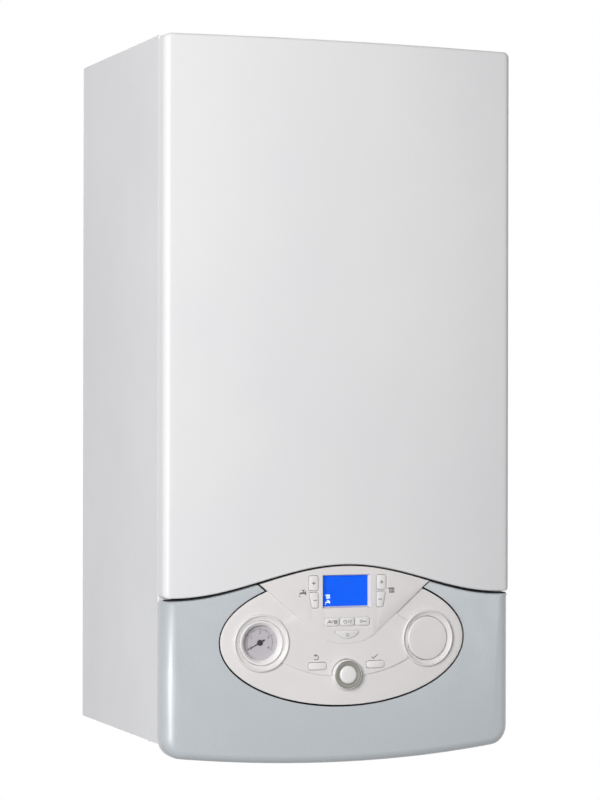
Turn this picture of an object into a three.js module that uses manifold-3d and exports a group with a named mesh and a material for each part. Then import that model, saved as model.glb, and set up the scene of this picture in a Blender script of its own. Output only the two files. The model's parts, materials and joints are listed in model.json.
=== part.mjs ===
// A wall-hung condensing combi boiler, as an assembly of its separate pieces.
// Units are millimetres. +X is the viewer's right, +Y points at the wall, +Z is up, and the front faces -Y.
// The pieces are drawn in case coordinates: x = 0 at mid width, y = 0 on the wall, z = 0 at the lower edge of
// the side panels. The outer group moves them so that the origin is the middle of the back plate's wall face.

import * as THREE from 'three';
import { mergeVertices } from 'three/addons/utils/BufferGeometryUtils.js';
import Module from 'manifold-3d';

const wasm = await Module();
wasm.setup();

// ---------- driving dimensions ----------

const CASE_WIDTH = 400;
const CASE_HEIGHT = 745;
const CASE_DEPTH = 278; // wall to the front edge of the side panels
const FRONT_STANDS = 34.2; // the front face at mid width, in front of the side panels
const FRONT_DEPTH = CASE_DEPTH + FRONT_STANDS;
const BOW_RADIUS = 1473; // the front is bowed in plan
const SHEET = 1.2; // painted sheet steel
const FIT_GAP = 0.3; // between pieces that seat on each other
const MOULDED_WALL = 2.6; // wall of the plastic mouldings

const SEAM_LOW = 152.7; // height of the casing's lower edge at the sides
const SEAM_RISE = 34.3; // how far it arches up at mid width
const SEAM_HALF_SPAN = 190;
const SEAM_GAP = 4; // shadow gap between the casing and the control panel

const CASING_TOP_CORNER = 7;
const CASING_LOW_CORNER = 5;
const CASING_SIDE_ROUND = 7;
const CASING_TOP_ROUND = 4;
const CASING_LOW_ROUND = 2;
const CASING_OVERHANG = 0.5; // the casing's top stands above the side panels
const HOOK_WIDTH = 50;
const HOOK_REACH = 14; // from the casing's rear edge, over the top plate
const HOOK_DROP = 8;
const HOOK_SPACING = 220;

const FASCIA_DIP = 24.9; // below the side panels at mid width
const FASCIA_ARC_RADIUS = 1724; // the fascia's lower edge
const FASCIA_CORNER = 19;
const FASCIA_TOP_CORNER = 3;
const FASCIA_SIDE_ROUND = 10;
const FASCIA_LOW_ROUND = 13;
const FASCIA_TOP_ROUND = 2.5;

const OVAL_HEIGHT = 106; // centre of the oval panel
const OVAL_HALF_WIDTH = 140.7;
const OVAL_HALF_HEIGHT = 70;
const OVAL_GAP = 1.6; // dark line round the oval panel
const NOTCH_X = 90; // inner corner of the fascia's finger tips
const NOTCH_TOP_X = 99.2; // where the tip's cut end meets the seam

const SHIELD_LIFT = 1.8; // raised shield round the display
const FIELD_LIFT = 1; // raised field below it
const DIAL_X = 95.5; // gauge on the left, blank cover on the right
const DIAL_HEIGHT = 105.3;
const COLLAR_RADIUS = 30;
const SEAT_RADIUS = 23.9; // bore that the gauge or the blank cover sits in
const COLLAR_LIFT = 3.2;
const GAUGE_WINDOW_RADIUS = 18.5;
const GAUGE_DEPTH = 26;
const NEEDLE_REST_ANGLE = 209.4; // degrees, anticlockwise from +X as the viewer sees it

const DISPLAY_WIDTH = 55;
const DISPLAY_HEIGHT = 35;
const DISPLAY_LOW = 140.7;
const DISPLAY_RECESS = 3.6; // from the shield's face to the window
const BUTTON_GAP = 0.4;
const BUTTON_PROUD = 1.1;
const FRONT_CLEAR = 10; // how far a cut through the front runs past its face

const KNOB_HEIGHT = 69.5;
const KNOB_RADIUS = 16.2;
const KNOB_FACE_RADIUS = 14.8;
const KNOB_CAP_RADIUS = 9.6;
const KNOB_PROUD = 7;
const KNOB_CAP_PROUD = 1.6;
const KNOB_WELL_GAP = 0.9;
const KNOB_SHAFT_RADIUS = 3;

const BOX_HALF_WIDTH = 148; // control box behind the fascia
const BOX_FRONT = CASE_DEPTH - 2;
const BOX_THICKNESS = 50;
const BOX_BACK = BOX_FRONT - BOX_THICKNESS;
const BOX_LOW = 12;
const BOX_HIGH = 130;
const BOX_WALL = 2.4;
const PIVOT_DEPTH = CASE_DEPTH - 10; // the control panel's pivot, from the wall
const PIVOT_HEIGHT = -4;
const PIN_RADIUS = 3;
const PIN_CLEARANCE = 0.3;
const EAR_X = 160;
const ARM_X = 151;

const FLUE_DEPTH = 140; // flue axis, from the wall
const FLUE_RADIUS = 30; // bore of the exhaust socket
const AIR_RADIUS = 47; // bore of the air intake round it
const FLUE_WALL = 2.5;
const FLUE_STANDS = 12; // above the side panels

const BOTTOM_PLATE_HEIGHT = 4;
const TAIL_PITCH = 66;
const TAIL_DEPTH = 70;
const TAIL_END = -24;
const WATER_TAIL_RADIUS = 11; // 22 mm pipe
const TAP_TAIL_RADIUS = 7.5; // 15 mm pipe
const TAIL_WALL = 2;

const EXCHANGER_RADIUS = 100;
const EXCHANGER_BELOW_TOP = 200; // its axis, below the top of the case
const EXCHANGER_HEIGHT = CASE_HEIGHT - EXCHANGER_BELOW_TOP;
const EXCHANGER_BACK = 90;
const EXCHANGER_LENGTH = 155;
const EXCHANGER_FRONT = EXCHANGER_BACK + EXCHANGER_LENGTH;
const VESSEL_RADIUS = 150;
const VESSEL_DEPTH = 74;
const VESSEL_HEIGHT = EXCHANGER_HEIGHT + 5;

// ---------- colours ----------

const paint = (color, roughness = 0.45, metalness = 0) =>
  new THREE.MeshStandardMaterial({ color, roughness, metalness });

const WHITE_PAINT = paint('#dcdcdc', 0.35);
const SILVER_PLASTIC = paint('#bac2c6', 0.4, 0.3);
const WARM_WHITE_PLASTIC = paint('#dcd8d8');
const ICE_WHITE_PLASTIC = paint('#e2e0e0');
const RING_GREY = paint('#8e8e86', 0.4, 0.3);
const DARK_PLASTIC = paint('#2c2e30', 0.6);
const GREY_PLASTIC = paint('#8a8d90', 0.6);
const DISPLAY_BLUE = paint('#0064ff', 0.2);
const CLEAR = paint('#dfe8ee', 0.05);
const GALVANISED = paint('#a9adb0', 0.45, 0.9);
const COPPER = paint('#b87345', 0.35, 1);
const BRASS = paint('#b79a55', 0.35, 1);
const CAST_ALUMINIUM = paint('#a4a7aa', 0.55, 0.9);
const RED_PAINT = paint('#a03028', 0.5);
const BOARD_GREEN = paint('#2f6b45', 0.6);
const BLUE_PLASTIC = paint('#2f5f9e', 0.5);
const RED_PLASTIC = paint('#b3302a', 0.5);

// ---------- solids ----------

const UNIT_X = new THREE.Vector3(1, 0, 0);
const UNIT_Y = new THREE.Vector3(0, 1, 0);
const UNIT_Z = new THREE.Vector3(0, 0, 1);
const FORWARD = new THREE.Vector3(0, -1, 0);
const RIGHT = UNIT_X;
const UP = UNIT_Z;
const DOWN = new THREE.Vector3(0, 0, -1);
const BACK = UNIT_Y;
const ELEVATION = new THREE.Matrix4().makeBasis(UNIT_X, UNIT_Z, FORWARD); // (x, z) drawings, depth forward
const SIDE_VIEW = new THREE.Matrix4().makeBasis(UNIT_Y, UNIT_Z, UNIT_X); // (y, z) drawings, depth along +X

/** A closed geometry as a solid, with its faces turned outward. */
function solidOf(geometry) {
  const bare = geometry.clone();
  for (const name of Object.keys(bare.attributes)) {
    if (name !== 'position') bare.deleteAttribute(name);
  }
  const welded = mergeVertices(bare, 1e-4);
  const at = welded.attributes.position;
  const corner = (i) => new THREE.Vector3().fromBufferAttribute(at, i);
  const triangles = [];
  let volume = 0;
  for (let i = 0; i < welded.index.count; i += 3) {
    const [a, b, c] = [0, 1, 2].map((k) => welded.index.getX(i + k));
    if (a === b || b === c || c === a) continue;
    triangles.push([a, b, c]);
    volume += corner(a).dot(corner(b).cross(corner(c)));
  }
  const turned = volume < 0 ? triangles.map(([a, b, c]) => [a, c, b]) : triangles;
  const vertProperties = new Float32Array(at.array);
  const triVerts = new Uint32Array(turned.flat());
  return new wasm.Manifold(new wasm.Mesh({ numProp: 3, vertProperties, triVerts }));
}

/** The solid's faces as a geometry with flat shading. */
function geometryOf(solid) {
  const mesh = solid.getMesh();
  const geometry = new THREE.BufferGeometry();
  geometry.setAttribute('position', new THREE.BufferAttribute(mesh.vertProperties, 3));
  geometry.setIndex(new THREE.BufferAttribute(mesh.triVerts, 1));
  geometry.computeVertexNormals();
  return geometry;
}

const join = (solids) => solids.reduce((whole, solid) => whole.add(solid));
const cut = (solid, cutters) => cutters.reduce((rest, cutter) => rest.subtract(cutter), solid);
const outlineShape = (points) => new THREE.Shape(points.map(([x, y]) => new THREE.Vector2(x, y)));

/** A box between two corners. */
function box([x0, x1], [y0, y1], [z0, z1]) {
  const geometry = new THREE.BoxGeometry(Math.abs(x1 - x0), Math.abs(y1 - y0), Math.abs(z1 - z0));
  return solidOf(geometry.translate((x0 + x1) / 2, (y0 + y1) / 2, (z0 + z1) / 2));
}

function extrusion(shape, depth, curveSegments = 12) {
  return new THREE.ExtrudeGeometry(shape, { depth, bevelEnabled: false, curveSegments });
}

/** An (x, z) shape, from back to front, both given as a depth from the wall. */
function elevation(shape, back, front, curveSegments) {
  const geometry = extrusion(shape, front - back, curveSegments).applyMatrix4(ELEVATION);
  return solidOf(geometry.translate(0, -back, 0));
}

/** An (x, y) shape between two heights. */
function plan(shape, low, high, curveSegments) {
  return solidOf(extrusion(shape, high - low, curveSegments).translate(0, 0, low));
}

/** A (y, z) shape between two values of x. */
function sideProfile(shape, x0, x1, curveSegments) {
  return solidOf(extrusion(shape, x1 - x0, curveSegments).applyMatrix4(SIDE_VIEW).translate(x0, 0, 0));
}

/** A round of the given (radius, height) profile, standing on a point and facing a direction. */
function revolve(profile, base, direction, segments = 32) {
  const points = profile.map(([r, h]) => new THREE.Vector2(r, h));
  const geometry = new THREE.LatheGeometry(points, segments);
  const turn = new THREE.Quaternion().setFromUnitVectors(UNIT_Y, direction.clone().normalize());
  return solidOf(geometry.applyQuaternion(turn).translate(base.x, base.y, base.z));
}

function cylinder(radius, length, base, direction, segments = 24) {
  return revolve([[0, 0], [radius, 0], [radius, length], [0, length]], base, direction, segments);
}

/** A plain tube, open at both ends. */
function sleeve(outer, inner, length, base, direction, segments = 24) {
  const profile = [[inner, 0], [outer, 0], [outer, length], [inner, length], [inner, 0]];
  return revolve(profile, base, direction, segments);
}

/** A round bar bent along a route of straight runs with rounded corners. */
function bentRod(radius, route, bend = 20, sides = 8) {
  const points = route.map(([x, y, z]) => new THREE.Vector3(x, y, z));
  const path = new THREE.CurvePath();
  let from = points[0];
  points.slice(1, -1).forEach((corner, i) => {
    const next = points[i + 2];
    const before = corner.clone().add(from.clone().sub(corner).setLength(bend));
    const after = corner.clone().add(next.clone().sub(corner).setLength(bend));
    path.add(new THREE.LineCurve3(from, before));
    path.add(new THREE.QuadraticBezierCurve3(before, corner, after));
    from = after;
  });
  path.add(new THREE.LineCurve3(from, points[points.length - 1]));
  const section = new THREE.Shape().absarc(0, 0, radius, 0, 2 * Math.PI);
  const steps = 4 * (points.length - 1);
  const options = { steps, curveSegments: sides / 2, bevelEnabled: false, extrudePath: path };
  return solidOf(new THREE.ExtrudeGeometry(section, options));
}

const at = (x, depth, z) => new THREE.Vector3(x, -depth, z);
const mirrorX = (solid) => solid.mirror([1, 0, 0]);
const radians = THREE.MathUtils.degToRad;

function roundedRectangle(x0, x1, z0, z1, r) {
  const shape = new THREE.Shape();
  shape.absarc(x1 - r, z0 + r, r, -Math.PI / 2, 0);
  shape.absarc(x1 - r, z1 - r, r, 0, Math.PI / 2);
  shape.absarc(x0 + r, z1 - r, r, Math.PI / 2, Math.PI);
  shape.absarc(x0 + r, z0 + r, r, Math.PI, 1.5 * Math.PI);
  return shape;
}


// ---------- the bowed front ----------

const CORNER_STEPS = 3;
const COLUMNS = 20; // steps across the width of a bowed edge
const ROUND_STEPS = 3; // steps of a rounded edge
const INNER_ROUND_STEPS = 1; // the same on the inside of a sheet
const SEAM_LIP = 10; // how far the sheet and the moulding turn back at the seam
const BOW_STEP = 30; // width of one flat of a bowed face

/** Distance of the bowed front face from the wall. */
const frontDepth = (x) => FRONT_DEPTH - BOW_RADIUS + Math.sqrt(BOW_RADIUS ** 2 - x ** 2);
/** Turn about +Z that faces a piece square to the bowed front at x. */
const bowAngle = (x) => Math.asin(x / BOW_RADIUS);

/** Middle of the arched gap between the casing and the fascia. */
function seamHeight(x) {
  const share = Math.min(Math.abs(x) / SEAM_HALF_SPAN, 1);
  return SEAM_LOW + (SEAM_RISE * (1 + Math.cos(Math.PI * share))) / 2;
}

const fasciaLowHeight = (x) => FASCIA_ARC_RADIUS - Math.sqrt(FASCIA_ARC_RADIUS ** 2 - x ** 2) - FASCIA_DIP;

/**
 * The upper (turn 1) or lower (turn -1) edge of a front piece, from the middle of its left side to the middle
 * of its right side, at one step of the rounding from the side walls (angle 0) to the front face.
 */
function edgeChain({ half, sideHeight, sideRound }, edge, turn, inset, angle) {
  const radius = (round) => Math.max(round - inset, 0.4);
  const drawnIn = (round) => radius(round) * (1 - Math.cos(angle));
  const behind = (round) => radius(round) * (1 - Math.sin(angle));
  const reach = half - inset - drawnIn(sideRound);
  const corner = Math.max(edge.corner - inset - drawnIn(Math.min(sideRound, edge.round)), 0.5);
  const heightAt = (x) => edge.heightAt(x) - turn * (inset + drawnIn(edge.round));
  const left = [{ x: -reach, z: sideHeight, behind: behind(sideRound) }];
  for (let i = 0; i <= CORNER_STEPS; i++) {
    const share = i / CORNER_STEPS;
    const turned = (share * Math.PI) / 2;
    left.push({
      x: -reach + corner * (1 - Math.cos(turned)),
      z: heightAt(reach - corner) - turn * corner * (1 - Math.sin(turned)),
      behind: THREE.MathUtils.lerp(behind(sideRound), behind(edge.round), share),
    });
  }
  const middle = [];
  for (let i = 1; i < COLUMNS; i++) {
    const x = (reach - corner) * ((2 * i) / COLUMNS - 1);
    middle.push({ x, z: heightAt(x), behind: behind(edge.round) });
  }
  const right = left.map((point) => ({ ...point, x: -point.x })).reverse();
  return [...left, ...middle, ...right];
}

/**
 * A solid from a back plane to the bowed front, drawn in by an inset on every side but the back.
 * Its form gives half its width, the height and rounding of its sides, and its upper and lower edges.
 */
function bowedSolid(form, back, inset = 0) {
  const rounding = inset > 0 ? INNER_ROUND_STEPS : ROUND_STEPS;
  const positions = [];
  let count = 0;
  const addLayer = (angle, depthOf) => {
    const upper = edgeChain(form, form.upper, 1, inset, angle);
    const lower = edgeChain(form, form.lower, -1, inset, angle);
    const ring = [...upper, ...lower.slice(1, -1).reverse()];
    ring.forEach((point) => positions.push(point.x, -depthOf(point), point.z));
    count = ring.length;
  };
  addLayer(0, () => back);
  for (let step = 0; step <= rounding; step++) {
    const angle = (step / rounding) * (Math.PI / 2);
    addLayer(angle, (point) => frontDepth(point.x) - inset - point.behind);
  }
  const last = count / 2;
  const layers = rounding + 2;
  const index = [];
  for (let layer = 0; layer < layers - 1; layer++) {
    for (let i = 0; i < count; i++) {
      const a = layer * count + i;
      const b = layer * count + ((i + 1) % count);
      index.push(a, b + count, b, a, a + count, b + count);
    }
  }
  const lowerAt = (i) => (i === 0 || i === last ? i : count - i);
  const front = (layers - 1) * count;
  for (let i = 0; i < last; i++) {
    const [a, b, c, d] = [i, i + 1, lowerAt(i + 1), lowerAt(i)];
    index.push(a, b, c, a, c, d);
    index.push(front + a, front + c, front + b, front + a, front + d, front + c);
  }
  const geometry = new THREE.BufferGeometry();
  geometry.setAttribute('position', new THREE.Float32BufferAttribute(positions, 3));
  geometry.setIndex(index);
  return solidOf(geometry);
}

/** The layer of space between two distances behind the bowed front (a negative one stands proud of it). */
function bowedLayer(behindFront, behindBack, from = -OVAL_HALF_WIDTH, to = OVAL_HALF_WIDTH) {
  const steps = Math.ceil((to - from) / BOW_STEP);
  const xs = Array.from({ length: steps + 1 }, (_, i) => from + ((to - from) * i) / steps);
  const front = xs.map((x) => [x, behindFront - frontDepth(x)]);
  const back = xs.map((x) => [x, behindBack - frontDepth(x)]).reverse();
  return plan(outlineShape([...front, ...back]), -FASCIA_DIP, SEAM_LOW + 2 * SEAM_RISE);
}

/** An outline moved outward by a distance, with square corners kept square. */
function grownOutline(points, distance) {
  return points.map(([x, z], i) => {
    const here = new THREE.Vector2(x, z);
    const before = here.clone().sub(new THREE.Vector2(...points.at(i - 1))).normalize();
    const after = new THREE.Vector2(...points[(i + 1) % points.length]).sub(here).normalize();
    const side = THREE.ShapeUtils.isClockWise(points.map(([a, b]) => new THREE.Vector2(a, b))) ? -1 : 1;
    const out = new THREE.Vector2(before.y + after.y, -before.x - after.x).multiplyScalar(side);
    const reach = distance / (1 + before.dot(after));
    return [x + out.x * reach, z + out.y * reach];
  });
}

/** A polygon with its corners rounded, as points. */
function roundedPolygon(points, radius, steps = 2) {
  const path = new THREE.Path();
  points.forEach(([x, z], i) => {
    const corner = new THREE.Vector2(x, z);
    const before = new THREE.Vector2(...points.at(i - 1)).sub(corner).setLength(radius).add(corner);
    const after = new THREE.Vector2(...points[(i + 1) % points.length]).sub(corner);
    after.setLength(radius).add(corner);
    if (i === 0) path.moveTo(before.x, before.y);
    else path.lineTo(before.x, before.y);
    path.quadraticCurveTo(x, z, after.x, after.y);
  });
  return path.getPoints(steps).map((point) => [point.x, point.y]);
}

const TOP_STEPS = 10; // steps of the oval's arched top

/** The gap round the oval panel: up to the arched seam at the top, and an ellipse below the finger tips. */
function ovalOutline(growth) {
  const ellipseSteps = 30;
  const points = [];
  for (let i = 0; i <= TOP_STEPS; i++) {
    const x = NOTCH_TOP_X * ((2 * i) / TOP_STEPS - 1);
    points.push([x, seamHeight(x) - (SEAM_GAP - OVAL_GAP) / 2]);
  }
  const start = Math.acos(NOTCH_X / OVAL_HALF_WIDTH);
  for (let i = 0; i <= ellipseSteps; i++) {
    const angle = start - (i / ellipseSteps) * (Math.PI + 2 * start);
    const z = OVAL_HEIGHT + OVAL_HALF_HEIGHT * Math.sin(angle);
    points.push([OVAL_HALF_WIDTH * Math.cos(angle), z]);
  }
  return grownOutline(points, growth);
}

/** The part of an (x, z) outline that lies between two distances behind the bowed front. */
function frontPad(points, behindFront, behindBack) {
  const xs = points.map(([x]) => x);
  const layer = bowedLayer(behindFront, behindBack, Math.min(...xs) - 1, Math.max(...xs) + 1);
  return elevation(outlineShape(points), CASE_DEPTH, FRONT_DEPTH + 10).intersect(layer);
}

// ---------- assembly ----------

const boiler = new THREE.Group();
const casePieces = new THREE.Group();
casePieces.position.z = -CASE_HEIGHT / 2;
boiler.add(casePieces);

/** Adds one named piece, drawn in case coordinates or in those of the group it goes into. */
function addPiece(name, solid, material, group = casePieces) {
  const mesh = new THREE.Mesh(geometryOf(solid), material);
  mesh.name = name;
  group.add(mesh);
  return mesh;
}

/** A group on the bowed front, square to it, whose -Y faces out. */
function frontGroup(x, z) {
  const group = new THREE.Group();
  group.position.copy(at(x, frontDepth(x), z));
  group.rotation.z = bowAngle(x);
  casePieces.add(group);
  return group;
}

/** The same placing for a solid that is cut from or joined to the panel. */
function onFront(solid, x, z) {
  const { x: px, y: py, z: pz } = at(x, frontDepth(x), z);
  return solid.rotate([0, 0, THREE.MathUtils.radToDeg(bowAngle(x))]).translate([px, py, pz]);
}

// ---------- case ----------

const PLATE_HALF = CASE_WIDTH / 2 - SHEET - FIT_GAP; // plates that stand between the side panels
const FLANGE = 15;
const SLOT_X = 130;
const SLOT_HALF = 16;
const SLOT_HIGH = CASE_HEIGHT - 33;
const SLOT_LOW = SLOT_HIGH - 22;
const ACCESS_HALF = 45; // hole for the wall's own wiring and pipes
const ACCESS_LOW = 215;
const ACCESS_HIGH = 300;

function addBackPlate() {
  const sheet = box([-PLATE_HALF, PLATE_HALF], [-SHEET, 0], [0, CASE_HEIGHT - 1]);
  const slots = [-1, 1].map((side) => {
    const x = side * SLOT_X;
    const shape = roundedRectangle(x - SLOT_HALF, x + SLOT_HALF, SLOT_LOW, SLOT_HIGH, 3);
    return elevation(shape, -1, SHEET + 1, 1);
  });
  const access = roundedRectangle(-ACCESS_HALF, ACCESS_HALF, ACCESS_LOW, ACCESS_HIGH, 10);
  addPiece('back_plate', cut(sheet, [...slots, elevation(access, -1, SHEET + 1, 1)]), GALVANISED);
}

function addSidePanels() {
  const outer = CASE_WIDTH / 2;
  const web = box([outer - SHEET, outer], [-CASE_DEPTH, 0], [0, CASE_HEIGHT]);
  const frontFlange = box([outer - FLANGE, outer], [-CASE_DEPTH, SHEET - CASE_DEPTH], [0, CASE_HEIGHT]);
  const rearY = -SHEET - FIT_GAP;
  const rearFlange = box([outer - FLANGE, outer], [rearY - SHEET, rearY], [0, CASE_HEIGHT]);
  const right = join([web, frontFlange, rearFlange]);
  addPiece('side_panel_right', right, WHITE_PAINT);
  addPiece('side_panel_left', mirrorX(right), WHITE_PAINT);
}

const TOP_PLATE_TOP = CASE_HEIGHT + CASING_OVERHANG - SHEET - FIT_GAP;
const TOP_PLATE_BACK = 3 * SHEET + 2 * FIT_GAP;
const TOP_PLATE_FRONT = CASE_DEPTH - SHEET - FIT_GAP;

function addTopPlate() {
  const outside = [[-PLATE_HALF, PLATE_HALF], [-TOP_PLATE_FRONT, -TOP_PLATE_BACK]];
  const outer = box(...outside, [TOP_PLATE_TOP - FLANGE, TOP_PLATE_TOP]);
  const [[x0, x1], [y0, y1]] = outside;
  const inner = box([x0 + SHEET, x1 - SHEET], [y0 + SHEET, y1 - SHEET], [0, TOP_PLATE_TOP - SHEET]);
  const hole = cylinder(AIR_RADIUS, 50, at(0, FLUE_DEPTH, TOP_PLATE_TOP - 25), UP, 20);
  const slots = [-1, 1].map((side) => {
    const x = (side * HOOK_SPACING) / 2;
    const half = HOOK_WIDTH / 2 + 1;
    const depth = CASE_DEPTH - HOOK_REACH;
    return box([x - half, x + half], [-depth - 2 * SHEET, -depth + SHEET], [TOP_PLATE_TOP - 5, TOP_PLATE_TOP + 5]);
  });
  addPiece('top_plate', cut(outer, [inner, hole, ...slots]), WHITE_PAINT);
}

const TAILS = [
  { name: 'flow_tail', place: -2, radius: WATER_TAIL_RADIUS, top: 16 },
  { name: 'hot_water_tail', place: -1, radius: TAP_TAIL_RADIUS, top: 61.7 },
  { name: 'gas_tail', place: 0, radius: TAP_TAIL_RADIUS, top: 16 },
  { name: 'cold_water_tail', place: 1, radius: TAP_TAIL_RADIUS, top: 61.7 },
  { name: 'return_tail', place: 2, radius: WATER_TAIL_RADIUS, top: 16 },
];
const EYE_RADIUS = 8;
const EAR_THICKNESS = 2;
const BOTTOM_PLATE_FRONT = PIVOT_DEPTH - 12;
const TRAP_X = 26 - CASE_WIDTH / 2;
const TRAP_DEPTH = 150;
const TRAP_OUTLET_RADIUS = 10;
const TRAP_OUTLET_END = -4;
const RELIEF_X = 94;
const RELIEF_DEPTH = 145;
const RELIEF_RADIUS = 7;

/** Profile in (y, z) of a lug that ends in an eye round the pivot. */
function pivotLug(rootFront, rootBack, rootLow, rootHigh) {
  const shape = new THREE.Shape();
  shape.moveTo(-rootBack, rootHigh);
  shape.lineTo(-rootFront, rootHigh);
  shape.lineTo(-rootFront, Math.min(rootLow, PIVOT_HEIGHT));
  shape.absarc(-PIVOT_DEPTH, PIVOT_HEIGHT, EYE_RADIUS, Math.PI, 1.75 * Math.PI);
  shape.lineTo(-rootBack, rootLow);
  shape.closePath();
  const hole = new THREE.Path().absarc(-PIVOT_DEPTH, PIVOT_HEIGHT, PIN_RADIUS + PIN_CLEARANCE, 0, 2 * Math.PI);
  shape.holes.push(hole);
  return shape;
}

function addBottomPlate() {
  const low = BOTTOM_PLATE_HEIGHT;
  const high = low + SHEET;
  const depths = [-BOTTOM_PLATE_FRONT, -TOP_PLATE_BACK];
  const plate = box([-PLATE_HALF, PLATE_HALF], depths, [low, high]);
  const flanges = [-1, 1].map((side) =>
    box([side * (PLATE_HALF - SHEET), side * PLATE_HALF], depths, [low, low + FLANGE]),
  );
  const lug = pivotLug(PIVOT_DEPTH + EYE_RADIUS, BOTTOM_PLATE_FRONT - 20, low, high);
  const ear = sideProfile(lug, EAR_X, EAR_X + EAR_THICKNESS, 5);
  const hole = (x, depth, radius) => cylinder(radius + 1, 30, at(x, depth, -10), UP, 8);
  const holes = TAILS.map((tail) => hole(tail.place * TAIL_PITCH, TAIL_DEPTH, tail.radius));
  holes.push(hole(TRAP_X, TRAP_DEPTH, TRAP_OUTLET_RADIUS), hole(RELIEF_X, RELIEF_DEPTH, RELIEF_RADIUS));
  const whole = join([plate, ...flanges, ear, mirrorX(ear)]);
  addPiece('bottom_plate', cut(whole, holes), GALVANISED);
}

function addHingePins() {
  const head = 5;
  const inner = ARM_X - 3;
  const outer = EAR_X + EAR_THICKNESS + FIT_GAP;
  const profile = [[0, 0], [PIN_RADIUS, 0], [PIN_RADIUS, outer - inner], [head, outer - inner]];
  profile.push([head, outer - inner + 2], [0, outer - inner + 2]);
  const right = revolve(profile, at(inner, PIVOT_DEPTH, PIVOT_HEIGHT), RIGHT, 10);
  addPiece('hinge_pin_right', right, GALVANISED);
  addPiece('hinge_pin_left', mirrorX(right), GALVANISED);
}

// ---------- front casing ----------

function addFrontCasing() {
  const top = CASE_HEIGHT + CASING_OVERHANG;
  const form = {
    half: CASE_WIDTH / 2,
    sideHeight: CASE_HEIGHT * 0.6,
    sideRound: CASING_SIDE_ROUND,
    upper: { corner: CASING_TOP_CORNER, round: CASING_TOP_ROUND, heightAt: () => top },
    lower: { corner: CASING_LOW_CORNER, round: CASING_LOW_ROUND, heightAt: (x) => seamHeight(x) + SEAM_GAP / 2 },
  };
  const back = CASE_DEPTH + FIT_GAP;
  const outer = bowedSolid(form, back);
  const inner = bowedSolid(form, back - 5, SHEET);
  const low = { ...form.lower, heightAt: (x) => seamHeight(x) - 2 * SEAM_LIP };
  const behindLip = bowedSolid({ ...form, lower: low }, back - 5, SEAM_LIP);
  const returns = [-1, 1].map((side) => {
    const edge = side * (CASE_WIDTH / 2 - 0.5);
    const low = SEAM_LOW + CASING_LOW_CORNER + SEAM_GAP;
    return box([edge, side * (CASE_WIDTH / 2 - 12)], [-back - SHEET, -back], [low, CASE_HEIGHT - 10]);
  });
  const hooks = [-1, 1].flatMap((side) => {
    const x = (side * HOOK_SPACING) / 2;
    const across = [x - HOOK_WIDTH / 2, x + HOOK_WIDTH / 2];
    const end = CASE_DEPTH - HOOK_REACH;
    const tab = box(across, [-back - 2, -end], [top - SHEET, top]);
    const lip = box(across, [-end - SHEET, -end], [top - HOOK_DROP, top]);
    return [tab, lip];
  });
  addPiece('front_casing', join([cut(outer, [inner, behindLip]), ...returns, ...hooks]), WHITE_PAINT);
}

// ---------- fascia and control panel ----------

const BOSS_X = 135;
const BOSS_RADIUS = 5;
const RIB_SPACING = 45;
const RIB_THICKNESS = 1.8;

function addFascia() {
  const form = {
    half: CASE_WIDTH / 2 + FIT_GAP,
    sideHeight: SEAM_LOW / 2,
    sideRound: FASCIA_SIDE_ROUND,
    upper: { corner: FASCIA_TOP_CORNER, round: FASCIA_TOP_ROUND, heightAt: (x) => seamHeight(x) - SEAM_GAP / 2 },
    lower: { corner: FASCIA_CORNER, round: FASCIA_LOW_ROUND, heightAt: fasciaLowHeight },
  };
  const back = CASE_DEPTH + FIT_GAP;
  const outer = bowedSolid(form, back);
  const inner = bowedSolid(form, back - 5, MOULDED_WALL);
  const high = { ...form.upper, heightAt: (x) => seamHeight(x) + 2 * SEAM_LIP };
  const behindLip = bowedSolid({ ...form, upper: high }, back - 5, SEAM_LIP);
  const opening = elevation(outlineShape(ovalOutline(OVAL_GAP / 2)), CASE_DEPTH, FRONT_DEPTH + 5);
  const inside = bowedSolid(form, back, MOULDED_WALL / 2);
  const bosses = [-1, 1].map((side) =>
    cylinder(BOSS_RADIUS, 50, at(side * BOSS_X, BOX_FRONT + FIT_GAP, BOX_LOW + 10), FORWARD, 12),
  );
  const ribTop = OVAL_HEIGHT - OVAL_HALF_HEIGHT - 6;
  const ribs = [-1.5, -0.5, 0.5, 1.5].map((place) => {
    const x = place * RIB_SPACING;
    return box([x, x + RIB_THICKNESS], [-FRONT_DEPTH, -back - 2], [-FASCIA_DIP, ribTop]);
  });
  const shell = cut(outer, [inner, behindLip, opening]);
  const [boss, rib] = [join(bosses), join(ribs)].map((solid) => solid.intersect(inside));
  addPiece('fascia', join([shell, rib, boss.add(join(bosses).intersect(bossRoot()))]), SILVER_PLASTIC);
}

/** The space behind the fascia's rim that its bosses reach through to the control box. */
const bossRoot = () => box([-CASE_WIDTH, CASE_WIDTH], [-CASE_DEPTH - 3, 0], [-FASCIA_DIP, CASE_HEIGHT]);

/** Raised field round the display, from the arched seam down to a round end. */
function shieldOutline() {
  const top = ovalOutline(-OVAL_GAP / 2).slice(0, TOP_STEPS + 1);
  const path = new THREE.Path();
  path.moveTo(...top[top.length - 1]);
  path.lineTo(33.4, 112.6);
  path.quadraticCurveTo(21, 102.3, 0, 102.3);
  path.quadraticCurveTo(-21, 102.3, -33.4, 112.6);
  path.lineTo(...top[0]);
  const below = path.getPoints(5).map((point) => [point.x, point.y]);
  return [...top, ...below.slice(1, -1)];
}

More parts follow.
